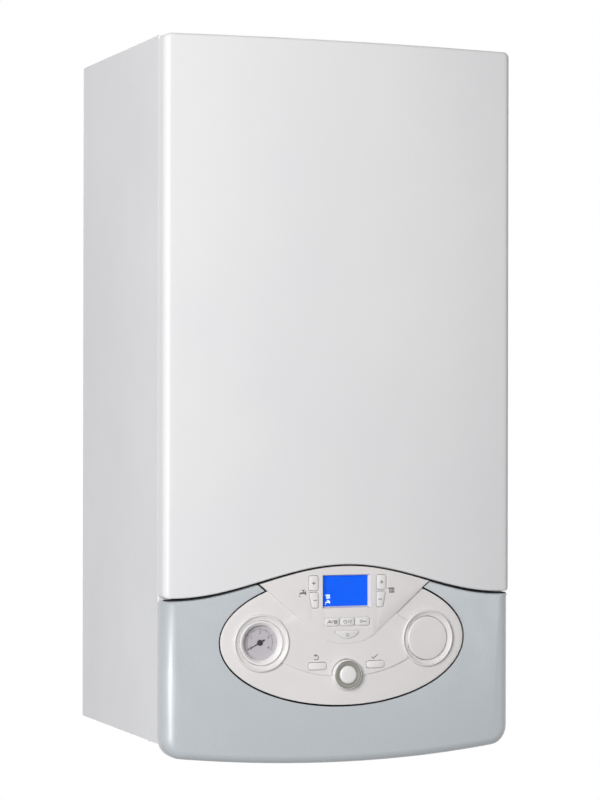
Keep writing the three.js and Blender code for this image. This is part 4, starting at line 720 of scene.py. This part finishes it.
def make_control_panel():
    seats = [circle(x, DIAL_HEIGHT, SEAT_RADIUS) for x in (-DIAL_X, DIAL_X)]
    window = rectangle(DISPLAY_HALF, DISPLAY_LOW, DISPLAY_HIGH)
    well = circle(0, KNOB_HEIGHT, KNOB_RADIUS + 0.4)
    holes = {name: [(x + u, z + v) for u, v in grown(outline, KEY_GAP)] for name, x, z, outline, _ in KEYS}
    lower = [holes.pop("back"), holes.pop("confirm")]
    upper = [window, *holes.values()]
    form = new_form()
    plate(form, [oval_outline(-OVAL_GAP / 2), *seats, well, *lower, *upper], -WALL, 0, 0.35)
    plate(form, [shield_outline(), *upper], -WALL / 2, SHIELD_LIFT, 0.45)
    plate(form, [field_outline(), well, *lower], -WALL / 2, FIELD_LIFT, 0.45)
    plate(form, [circle(0, KNOB_HEIGHT, KNOB_RADIUS + 1.6), circle(0, KNOB_HEIGHT, 4, 24)], -WALL, -0.8)
    ring = [(SEAT_RADIUS, -WALL), (COLLAR_RADIUS - 0.6, -WALL), (COLLAR_RADIUS, 0)]
    for step in range(9):
        turn = math.pi * step / 8
        inward, down = COLLAR_LIP * (1 - math.cos(turn)), COLLAR_LIP * (1 - math.sin(turn))
        ring.append((COLLAR_RADIUS - inward, COLLAR_LIFT - down))
    ring += [(SEAT_RADIUS + 1.2, 0.5), (SEAT_RADIUS + 0.2, 0.2), (SEAT_RADIUS, -0.2), (SEAT_RADIUS, -WALL)]
    for x in (-DIAL_X, DIAL_X):
        lathe(form, ring, on_front(x, DIAL_HEIGHT), 96)
    bezel(form)
    piece("oval_control_panel", form, PANEL_WHITE, "panel", ["control_panel"], 28)


def bezel(form):
    """The sloping sides that lead down from the panel's face to the display."""
    outside = rectangle(DISPLAY_HALF + 1, DISPLAY_LOW - 1, DISPLAY_HIGH + 1)
    front = rectangle(DISPLAY_HALF + 0.3, DISPLAY_LOW - 0.3, DISPLAY_HIGH + 0.3)
    foot = rectangle(LCD_HALF + 0.3, LCD_LOW - 0.3, LCD_HIGH + 0.3)
    lift, floor = SHIELD_LIFT - 0.1, SHIELD_LIFT - DISPLAY_RECESS - 1
    levels = [(front, lift), (foot, floor), (outside, floor), (outside, lift)]
    rings = [[form.verts.new((x, -FRONT_DEPTH - level, z)) for x, z in outline] for outline, level in levels]
    for a, b in zip(rings, rings[1:] + rings[:1]):
        bridge(form, a, b)


def make_keys():
    for name, x, z, outline, ground in KEYS:
        form = new_form()
        place = on_front(x, z)
        plate(form, [outline], -WALL - GAP - 0.5, ground + KEY_PROUD, KEY_ROUND, place)
        plate(form, [grown(outline, 0.7)], -WALL - GAP - 1, -WALL - GAP, 0, place)
        piece(f"{name}_key", form, KEY_WHITE, f"{name}_button", [f"{name}_button"], 40)


def make_selector():
    place = on_front(0, KNOB_HEIGHT)
    floor = KNOB_PROUD - 2
    skirt = [
        (0, -9), (3, -9), (3, -0.5), (KNOB_RADIUS - 0.3, -0.5),
        (KNOB_RADIUS, -0.2), (KNOB_RADIUS, 1.0), (KNOB_RADIUS - 0.25, 2.4),
        (KNOB_FACE_RADIUS + 0.75, KNOB_PROUD - 1.1), (KNOB_FACE_RADIUS + 0.55, KNOB_PROUD - 0.55),
        (KNOB_FACE_RADIUS + 0.2, KNOB_PROUD - 0.4), (KNOB_FACE_RADIUS, KNOB_PROUD - 0.6),
        (KNOB_FACE_RADIUS, floor), (0, floor),
    ]
    form = new_form()
    lathe(form, skirt, place, 96)
    piece("selector_skirt", form, KEY_WHITE, "selector", ["selector_body"])
    inner, outer = KNOB_CAP_RADIUS + GAP, KNOB_FACE_RADIUS - GAP
    ring = [
        (inner, floor + GAP), (outer, floor + GAP), (outer, KNOB_PROUD - 0.6),
        (outer - 0.2, KNOB_PROUD - 0.2), (outer - 0.7, KNOB_PROUD),
        (inner + 0.6, KNOB_PROUD - 0.9), (inner, KNOB_PROUD - 1.2), (inner, floor + GAP),
    ]
    form = new_form()
    lathe(form, ring, place, 96)
    piece("selector_grey_ring", form, RING_GREY, "selector", ["selector_ring"])
    top = KNOB_PROUD + KNOB_CAP_PROUD
    cap = [
        (0, floor + GAP), (KNOB_CAP_RADIUS, floor + GAP), (KNOB_CAP_RADIUS, KNOB_PROUD),
        (KNOB_CAP_RADIUS - 0.25, KNOB_PROUD + 0.5), (KNOB_CAP_RADIUS - 0.8, top - 0.65),
        (KNOB_CAP_RADIUS - 1.8, top - 0.3), (KNOB_CAP_RADIUS - 4, top - 0.08), (0, top),
    ]
    form = new_form()
    lathe(form, cap, place, 80)
    piece("selector_white_cap", form, KEY_WHITE, "selector", ["selector_cap"])


DIAL_FACE = -5  # level of the gauge's dial behind the panel's face
SCALE_RADIUS = 13.8
SCALE_SWEEP = 240  # degrees
SCALE_TICKS = 40
FIGURE_RADIUS = 11
FIGURE_HEIGHT = 3.3


def make_gauge():
    place = on_front(-DIAL_X, DIAL_HEIGHT)
    rim = SEAT_RADIUS - GAP
    housing = [
        (0, -26), (SEAT_RADIUS - 3.4, -26), (SEAT_RADIUS - 3, -25.6), (SEAT_RADIUS - 3, -WALL),
        (rim, -WALL), (rim, COLLAR_LIFT - 1.2), (rim - 0.2, COLLAR_LIFT - 0.9),
        (rim - 0.7, COLLAR_LIFT - 0.75), (rim - 1.6, COLLAR_LIFT - 0.85), (rim - 2.4, COLLAR_LIFT - 1.5),
        (WINDOW_RADIUS + 0.5, -0.4), (WINDOW_RADIUS, -1.2), (WINDOW_RADIUS, DIAL_FACE), (0, DIAL_FACE),
    ]
    form = new_form()
    lathe(form, housing, place, 96)
    piece("gauge_housing", form, KEY_WHITE, "panel", ["gauge_body"])
    form = new_form()
    disc, face = WINDOW_RADIUS - 0.1, DIAL_FACE + 0.12
    lathe(form, [(0, DIAL_FACE), (disc, DIAL_FACE), (disc, face), (0, face)], place)
    piece("gauge_dial", form, DIAL_LILAC, "panel")
    form = new_form()
    bottom, top = DIAL_FACE + 0.1, DIAL_FACE + 0.18
    for i in range(SCALE_TICKS + 1):
        turn = math.radians(NEEDLE_REST_ANGLE - SCALE_SWEEP * i / SCALE_TICKS)
        end, half = (16.2, 0.2) if i % 10 == 0 else (15.6, 0.15) if i % 5 == 0 else (15, 0.1)
        ray, side = Vector((math.cos(turn), math.sin(turn))), Vector((-math.sin(turn), math.cos(turn)))
        ends = ((SCALE_RADIUS, -half), (end, -half), (end, half), (SCALE_RADIUS, half))
        corners = [ray * r + side * w for r, w in ends]
        plate(form, [[tuple(c) for c in corners]], bottom, top, 0, place)
    step = SCALE_SWEEP / 4
    for quarter in range(4):
        start = NEEDLE_REST_ANGLE - step * quarter
        arc(form, (0, 0), SCALE_RADIUS, start, start - step, 0.22, bottom, top, place)
    for number in range(5):
        turn = math.radians(NEEDLE_REST_ANGLE - step * number)
        x, z = FIGURE_RADIUS * math.cos(turn), FIGURE_RADIUS * math.sin(turn)
        lettering(form, str(number), FIGURE_HEIGHT, x, z, bottom, top, place)
    piece("gauge_scale", form, INK_DARK, "panel")
    form = new_form()
    level = DIAL_FACE + GAP
    turn = math.radians(NEEDLE_REST_ANGLE)
    blade = [(-6, -0.9), (-2, -0.75), (15.6, -0.22), (16, 0), (15.6, 0.22), (-2, 0.75), (-6, 0.9)]
    cos, sin = math.cos(turn), math.sin(turn)
    turned = [(u * cos - v * sin, u * sin + v * cos) for u, v in blade]
    plate(form, [turned], level, level + 0.5, 0.1, place)
    hub = [(0, 0.1), (3, 0.1), (3.2, 0.3), (3.2, 0.7), (2.8, 0.9), (0, 0.9)]
    lathe(form, [(radius, level + height) for radius, height in hub], place, 40)
    piece("gauge_pointer", form, NEEDLE_BLACK, "needle", ["gauge_needle"])
    form = new_form()
    window = WINDOW_RADIUS - GAP
    lathe(form, [(0, -2.9), (window, -2.9), (window, -1.9), (window - 0.2, -1.7), (0, -1.7)], place)
    piece("gauge_window", form, WINDOW, "panel", ["gauge_glass"])


def make_timer_blank():
    outer, face, edge = SEAT_RADIUS - GAP - 0.1, COLLAR_LIFT - 0.7, 1.4
    section = [(0, face - 1.8), (outer - 1.8, face - 1.8), (outer - 1.8, -WALL - 4), (outer, -WALL - 4)]
    for step in range(7):
        turn = math.pi / 2 * step / 6
        section.append((outer - edge * (1 - math.cos(turn)), face - edge * (1 - math.sin(turn))))
    section += [(outer - 8, face + 0.1), (0, face + 0.15)]
    form = new_form()
    lathe(form, section, on_front(DIAL_X, DIAL_HEIGHT), 96)
    piece("timer_blank_cover", form, PANEL_WHITE, "panel", ["timer_blank"])


def lettering(form, text, size, x, z, low, high, place):
    """Plain figures of this height, centred at (x, z), raised between two levels."""
    curve = bpy.data.curves.new("figure", "FONT")
    curve.body = text
    curve.size = size * 1.38
    curve.align_x = "CENTER"
    curve.align_y = "CENTER"
    curve.extrude = (high - low) / 2
    curve.resolution_u = 4
    holder = bpy.data.objects.new("figure", curve)
    mesh = bpy.data.meshes.new_from_object(holder)
    bpy.data.objects.remove(holder)
    middle = (low + high) / 2
    for vertex in mesh.vertices:
        u, v, level = vertex.co
        vertex.co = place @ Vector((x + u, -level - middle, z + v))
    form.from_mesh(mesh)
    bpy.data.meshes.remove(mesh)


# ---------- display and printed symbols ----------


def bar(form, start, end, width, low, high, place):
    """A straight printed stroke with square ends."""
    a, b = Vector(start), Vector(end)
    side = Vector((a.y - b.y, b.x - a.x)).normalized() * width / 2
    plate(form, [[tuple(p) for p in (a - side, b - side, b + side, a + side)]], low, high, 0, place)


def arc(form, centre, radius, start, end, width, low, high, place):
    """A printed stroke along an arc, between two angles in degrees."""
    turns = [math.radians(start + (end - start) * i / 16) for i in range(17)]
    ray = lambda r, a: (centre[0] + r * math.cos(a), centre[1] + r * math.sin(a))
    outline = [ray(radius + width / 2, a) for a in turns] + [ray(radius - width / 2, a) for a in turns[::-1]]
    plate(form, [outline], low, high, 0, place)


def plus_mark(form, size, width, level, place):
    bar(form, (-size, 0), (size, 0), width, *level, place)
    bar(form, (0, -size), (0, size), width, *level, place)


def tap_mark(form, x, z, size, level, place):
    """A water tap: its inlet, body, handle, the spout to the left and a drop."""
    unit = size / 8
    bar(form, (x + 3.6 * unit, z - 2.2 * unit), (x + 3.6 * unit, z + 2.2 * unit), 1.3 * unit, *level, place)
    bar(form, (x + 3.4 * unit, z), (x - 2 * unit, z), 2.1 * unit, *level, place)
    arc(form, (x - 1.6 * unit, z - 1.7 * unit), 1.8 * unit, 90, 180, 1.7 * unit, *level, place)
    bar(form, (x + unit, z), (x + unit, z + 3.2 * unit), 1.2 * unit, *level, place)
    bar(form, (x - 1.2 * unit, z + 3.2 * unit), (x + 2.4 * unit, z + 3.2 * unit), 1.1 * unit, *level, place)
    plate(form, [circle(x - 3.6 * unit, z - 3.6 * unit, 0.8 * unit, 16)], *level, 0, place)


def radiator_mark(form, x, z, size, level, place):
    """A radiator: a row of columns, with its pipe at the upper left."""
    unit = size / 8
    for i in range(4):
        u = x + (i - 1) * 1.8 * unit
        bar(form, (u, z - 3.2 * unit), (u, z + 3.2 * unit), 1.2 * unit, *level, place)
    bar(form, (x - 4.4 * unit, z + 2.4 * unit), (x + 4.2 * unit, z + 2.4 * unit), 1.1 * unit, *level, place)
    bar(form, (x - 2 * unit, z - 2.4 * unit), (x + 4.2 * unit, z - 2.4 * unit), 0.8 * unit, *level, place)


def return_mark(form, x, z, size, level, place):
    """A round arrow that turns back to the left."""
    r = size * 0.4
    arc(form, (x, z), r, -150, 100, size * 0.13, *level, place)
    tip = [(x - size * 0.5, z + r * 0.85), (x, z + r + size * 0.24), (x, z + r - size * 0.28)]
    plate(form, [tip], *level, 0, place)


def make_display():
    face = SHIELD_LIFT - DISPLAY_RECESS
    flat = Matrix.Translation((0, -FRONT_DEPTH, 0))
    form = new_form()
    window = rectangle(LCD_HALF + 0.1, LCD_LOW - 0.1, LCD_HIGH + 0.1)
    plate(form, [rounded(window, 0.4, 2)], face - 1.2, face - 0.9, 0, flat)
    piece("display_window", form, WINDOW, "panel", ["display_lens"])
    form = new_form()
    back = face - 1.4
    plate(form, [rectangle(LCD_HALF + 0.2, LCD_LOW - 0.2, LCD_HIGH + 0.2)], back - 0.28, back - 0.1, 0, flat)
    piece("display_glass", form, LCD, "panel")
    level = (back - 0.1, back - 0.04)
    form = new_form()
    radiator_mark(form, -20.2, 152.6, 5.2, level, flat)
    tap_mark(form, -20.2, 146.6, 5.2, level, flat)
    piece("display_symbols", form, ICON_WHITE, "panel")


def make_prints():
    """The signs that are printed on the keys, 0.04 mm thick, each riding with its key."""
    for name, x, z, _, ground in KEYS:
        form = new_form()
        place = on_front(x, z)
        top = ground + KEY_PROUD
        level = (top - 0.01, top + 0.04)
        if name.endswith("_plus"):
            plus_mark(form, 2.1, 0.85, level, place)
        elif name.endswith("_minus"):
            middle = 1.6 if name.startswith("hot") else -1.6
            bar(form, (middle - 2.1, 0), (middle + 2.1, 0), 0.85, *level, place)
        elif name == "mode":
            tap_mark(form, -3.4, 0, 4.4, level, place)
            bar(form, (-0.5, -1.6), (0.7, 1.8), 0.45, *level, place)
            radiator_mark(form, 3.4, 0, 4.4, level, place)
        elif name == "program":
            arc(form, (-2.6, 0), 1.9, 0, 360, 0.45, *level, place)
            bar(form, (-2.6, 0), (-2.6, 1.4), 0.4, *level, place)
            bar(form, (-2.6, 0), (-1.5, 0), 0.4, *level, place)
            bar(form, (0.6, -1.6), (1.8, 1.8), 0.45, *level, place)
            arc(form, (3.6, 0.6), 1.1, 0, 360, 0.45, *level, place)
            bar(form, (3.6, -0.5), (3.6, -2.1), 0.5, *level, place)
        elif name == "reset":
            arc(form, (-1.6, 0), 1.4, 0, 360, 0.55, *level, place)
            bar(form, (-0.1, 0), (4.6, 0), 0.7, *level, place)
        elif name == "power":
            arc(form, (0, -0.4), 1.6, 125, 415, 0.5, *level, place)
            bar(form, (0, -0.2), (0, 1.7), 0.5, *level, place)
        else:
            form.free()
            continue
        piece(f"{name}_key_print", form, INK_GREY, f"{name}_button")


def make_panel_prints():
    """The small signs beside the keys, on the panel's own face."""
    form = new_form()
    field = (FIELD_LIFT - 0.02, FIELD_LIFT + 0.04)
    shield = (SHIELD_LIFT - 0.02, SHIELD_LIFT + 0.04)
    tap_mark(form, -50.2, 157.2, 7.4, shield, None)
    radiator_mark(form, 51.6, 158.2, 7.2, shield, None)
    return_mark(form, -34.6, 88.4, 6.2, field, None)
    bar(form, (29.2, 87.4), (31.4, 85.2), 0.9, *field, None)
    bar(form, (31.0, 85.2), (36.4, 90.2), 0.9, *field, None)
    piece("panel_prints", form, INK_GREY, "panel")


# ---------- the pieces behind the front ----------

DRESSED = [
    ("galvanised_steel", ZINC, "back_plate bottom_plate hinge_pin_left hinge_pin_right plate_heat_exchanger"),
    ("white_sheet", PAINTED_SHADE_WHITE, "top_plate flue_collar"),
    ("dark_plastic", HOUSING_DARK, "control_box control_box_cover fan_motor pump_motor diverter_motor"),
    ("grey_plastic", DUCT_GREY, "condensate_trap exhaust_duct"),
    ("cast_aluminium", CASTING, "heat_exchanger burner_door fan_housing gas_mixer gas_valve pump_body"),
    ("ceramic_white", CERAMIC, "ignition_electrode"),
    ("copper_pipe", COPPER, "gas_pipe flow_pipe return_pipe"),
    ("copper_pipe", COPPER, "flow_tail hot_water_tail gas_tail cold_water_tail return_tail"),
    ("brass_body", BRASS, "flow_block safety_valve filling_tap"),
    ("red_paint", VESSEL_RED, "expansion_vessel"),
    ("red_plastic", CAP_RED, "safety_valve_cap"),
    ("blue_plastic", LEVER_BLUE, "filling_tap_handle"),
    ("circuit_board", BOARD, "display_module main_board"),
]
FLAT_NODES = "back_plate bottom_plate plate_heat_exchanger display_module main_board".split()


def dressed(node, material):
    """A piece with a node's own shape, its edges eased by 0.5 mm and its round faces smooth."""
    body = frame["nodes"][node]["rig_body"]
    form = new_form()
    form.from_mesh(frame["nodes"][node].data)
    bmesh.ops.remove_doubles(form, verts=form.verts, dist=1e-5)
    bmesh.ops.dissolve_limit(form, angle_limit=math.radians(0.5), verts=form.verts, edges=form.edges)
    sharp = [e for e in form.edges if len(e.link_faces) == 2 and e.calc_face_angle() > math.radians(50)]
    if node not in FLAT_NODES:
        bmesh.ops.bevel(form, geom=sharp, offset=0.0005, segments=2, profile=0.5, affect="EDGES", clamp_overlap=True)
    form.transform(IN_FRAME.inverted())
    return piece(f"{node}_finished", form, material, body, [node], 40)


def make_inner_pieces():
    for slot, material, nodes in DRESSED:
        for node in nodes.split():
            dressed(node, material)


# ---------- studio ----------

AMBIENT = 0.42
AMBIENT_POLES = 0.08
FLOOR_LEVEL = -2.0
FLOOR_HALF = 3.6
FLOOR_GLOW = 0.72  # share of the floor's look that is plain white, beside the light and the shadow that it takes
IMAGE_HEIGHT = 800  # pixels
FOCAL_LENGTH = 2570.6  # pixels
CAMERA_SHIFT = 19.2  # pixels
SENSOR_HEIGHT = 36
CAMERA_PLACE = (-1.0391, -2.8509, -0.031)
CAMERA_ROLL = -0.105  # degrees
CAMERA_HEADING = -21.224  # degrees


def background_rays(tree):
    """1 for the rays of the camera, of gloss and of glass, which see the white background, and 0 for the rest."""
    rays = add(tree, "LightPath").outputs
    seen = rays["Is Camera Ray"]
    for kind in ("Is Glossy Ray", "Is Transmission Ray"):
        seen = add(tree, "Math", {0: seen, 1: rays[kind]}, operation="MAXIMUM").outputs["Value"]
    return seen


def make_floor():
    """A plain pale floor well below the hanging boiler. It throws little light on the boiler and takes its shadow."""
    form = new_form()
    bmesh.ops.create_grid(form, x_segments=1, y_segments=1, size=FLOOR_HALF)
    mesh = bpy.data.meshes.new("floor")
    form.to_mesh(mesh)
    form.free()
    floor = bpy.data.objects.new("floor", mesh)
    floor.location = (0, 0, FLOOR_LEVEL)
    SCENE.collection.objects.link(floor)
    material, tree, shade, place = surface("pale_floor", "#F4F4F4", 0.8)
    seen = background_rays(tree)
    pale = ramp(tree, noise(tree, place, 300), (0.3, "#F2F2F2"), (0.7, "#F6F6F6"))
    shown = add(tree, "MixRGB", {"Fac": seen, "Color1": linear("#808080"), "Color2": pale})
    tree.links.new(shown.outputs["Color"], shade.inputs["Base Color"])
    white = add(tree, "Emission", {"Color": (1, 1, 1, 1), "Strength": 1.0})
    share = add(tree, "Math", {0: seen, 1: FLOOR_GLOW}, operation="MULTIPLY").outputs["Value"]
    both = add(tree, "MixShader", {0: share, 1: shade.outputs["BSDF"], 2: white.outputs[0]})
    output = next(node for node in tree.nodes if node.bl_idname == "ShaderNodeOutputMaterial")
    tree.links.new(both.outputs[0], output.inputs["Surface"])
    mesh.materials.append(material)


def make_world():
    """Soft light that is strongest from the sides, on a background that the camera sees white."""
    world = bpy.data.worlds.new("studio")
    SCENE.world = world
    world.use_nodes = True
    tree = world.node_tree
    tree.nodes.clear()
    up = add(tree, "SeparateXYZ", {"Vector": add(tree, "TexCoord").outputs["Generated"]}).outputs["Z"]
    steep = add(tree, "Math", {0: up}, operation="ABSOLUTE").outputs["Value"]
    ends = {"From Max": 0.9, "To Min": AMBIENT, "To Max": AMBIENT_POLES}
    even = add(tree, "MapRange", {"Value": steep, **ends}).outputs["Result"]
    light = add(tree, "Background", {"Color": (1, 1, 1, 1), "Strength": even})
    white = add(tree, "Background", {"Color": (1, 1, 1, 1), "Strength": 1.0})
    both = add(tree, "MixShader", {0: background_rays(tree), 1: light.outputs[0], 2: white.outputs[0]})
    add(tree, "OutputWorld", {"Surface": both.outputs[0]})


def make_lamp(name, place, aim, size, watts):
    lamp = bpy.data.lights.new(name, "AREA")
    lamp.shape = "RECTANGLE"
    lamp.size, lamp.size_y = size
    lamp.energy = watts
    holder = bpy.data.objects.new(name, lamp)
    holder.location = place
    holder.rotation_euler = (Vector(aim) - Vector(place)).to_track_quat("-Z", "Y").to_euler()
    SCENE.collection.objects.link(holder)


def make_camera():
    """The photograph's view: from the left of the boiler and a little below its middle."""
    camera = bpy.data.cameras.new("view")
    camera.sensor_fit = "VERTICAL"
    camera.sensor_height = SENSOR_HEIGHT
    camera.lens = FOCAL_LENGTH * SENSOR_HEIGHT / IMAGE_HEIGHT
    camera.shift_y = CAMERA_SHIFT / IMAGE_HEIGHT
    camera.clip_end = 100
    holder = bpy.data.objects.new("view", camera)
    holder.location = CAMERA_PLACE
    holder.rotation_euler = (math.radians(90), math.radians(CAMERA_ROLL), math.radians(CAMERA_HEADING))
    SCENE.collection.objects.link(holder)
    SCENE.camera = holder


make_camera()
make_world()
make_floor()
make_lamp("key_light", (-2.7, -3.1, 0.7), (0, 0, 0), (1.6, 2.2), 165)
make_lamp("fill_light", (2.2, -3.4, 0.4), (0, 0, 0), (1.6, 2.2), 8)

make_side_panels()
make_casing()
make_fascia()
make_seam_gasket()
make_control_panel()
make_keys()
make_selector()
make_gauge()
make_timer_blank()
make_display()
make_prints()
make_panel_prints()
make_inner_pieces()

SCENE.view_settings.view_transform = "Standard"


def corners(bounds):
    return [list(map(float, corner)) for corner in bounds]
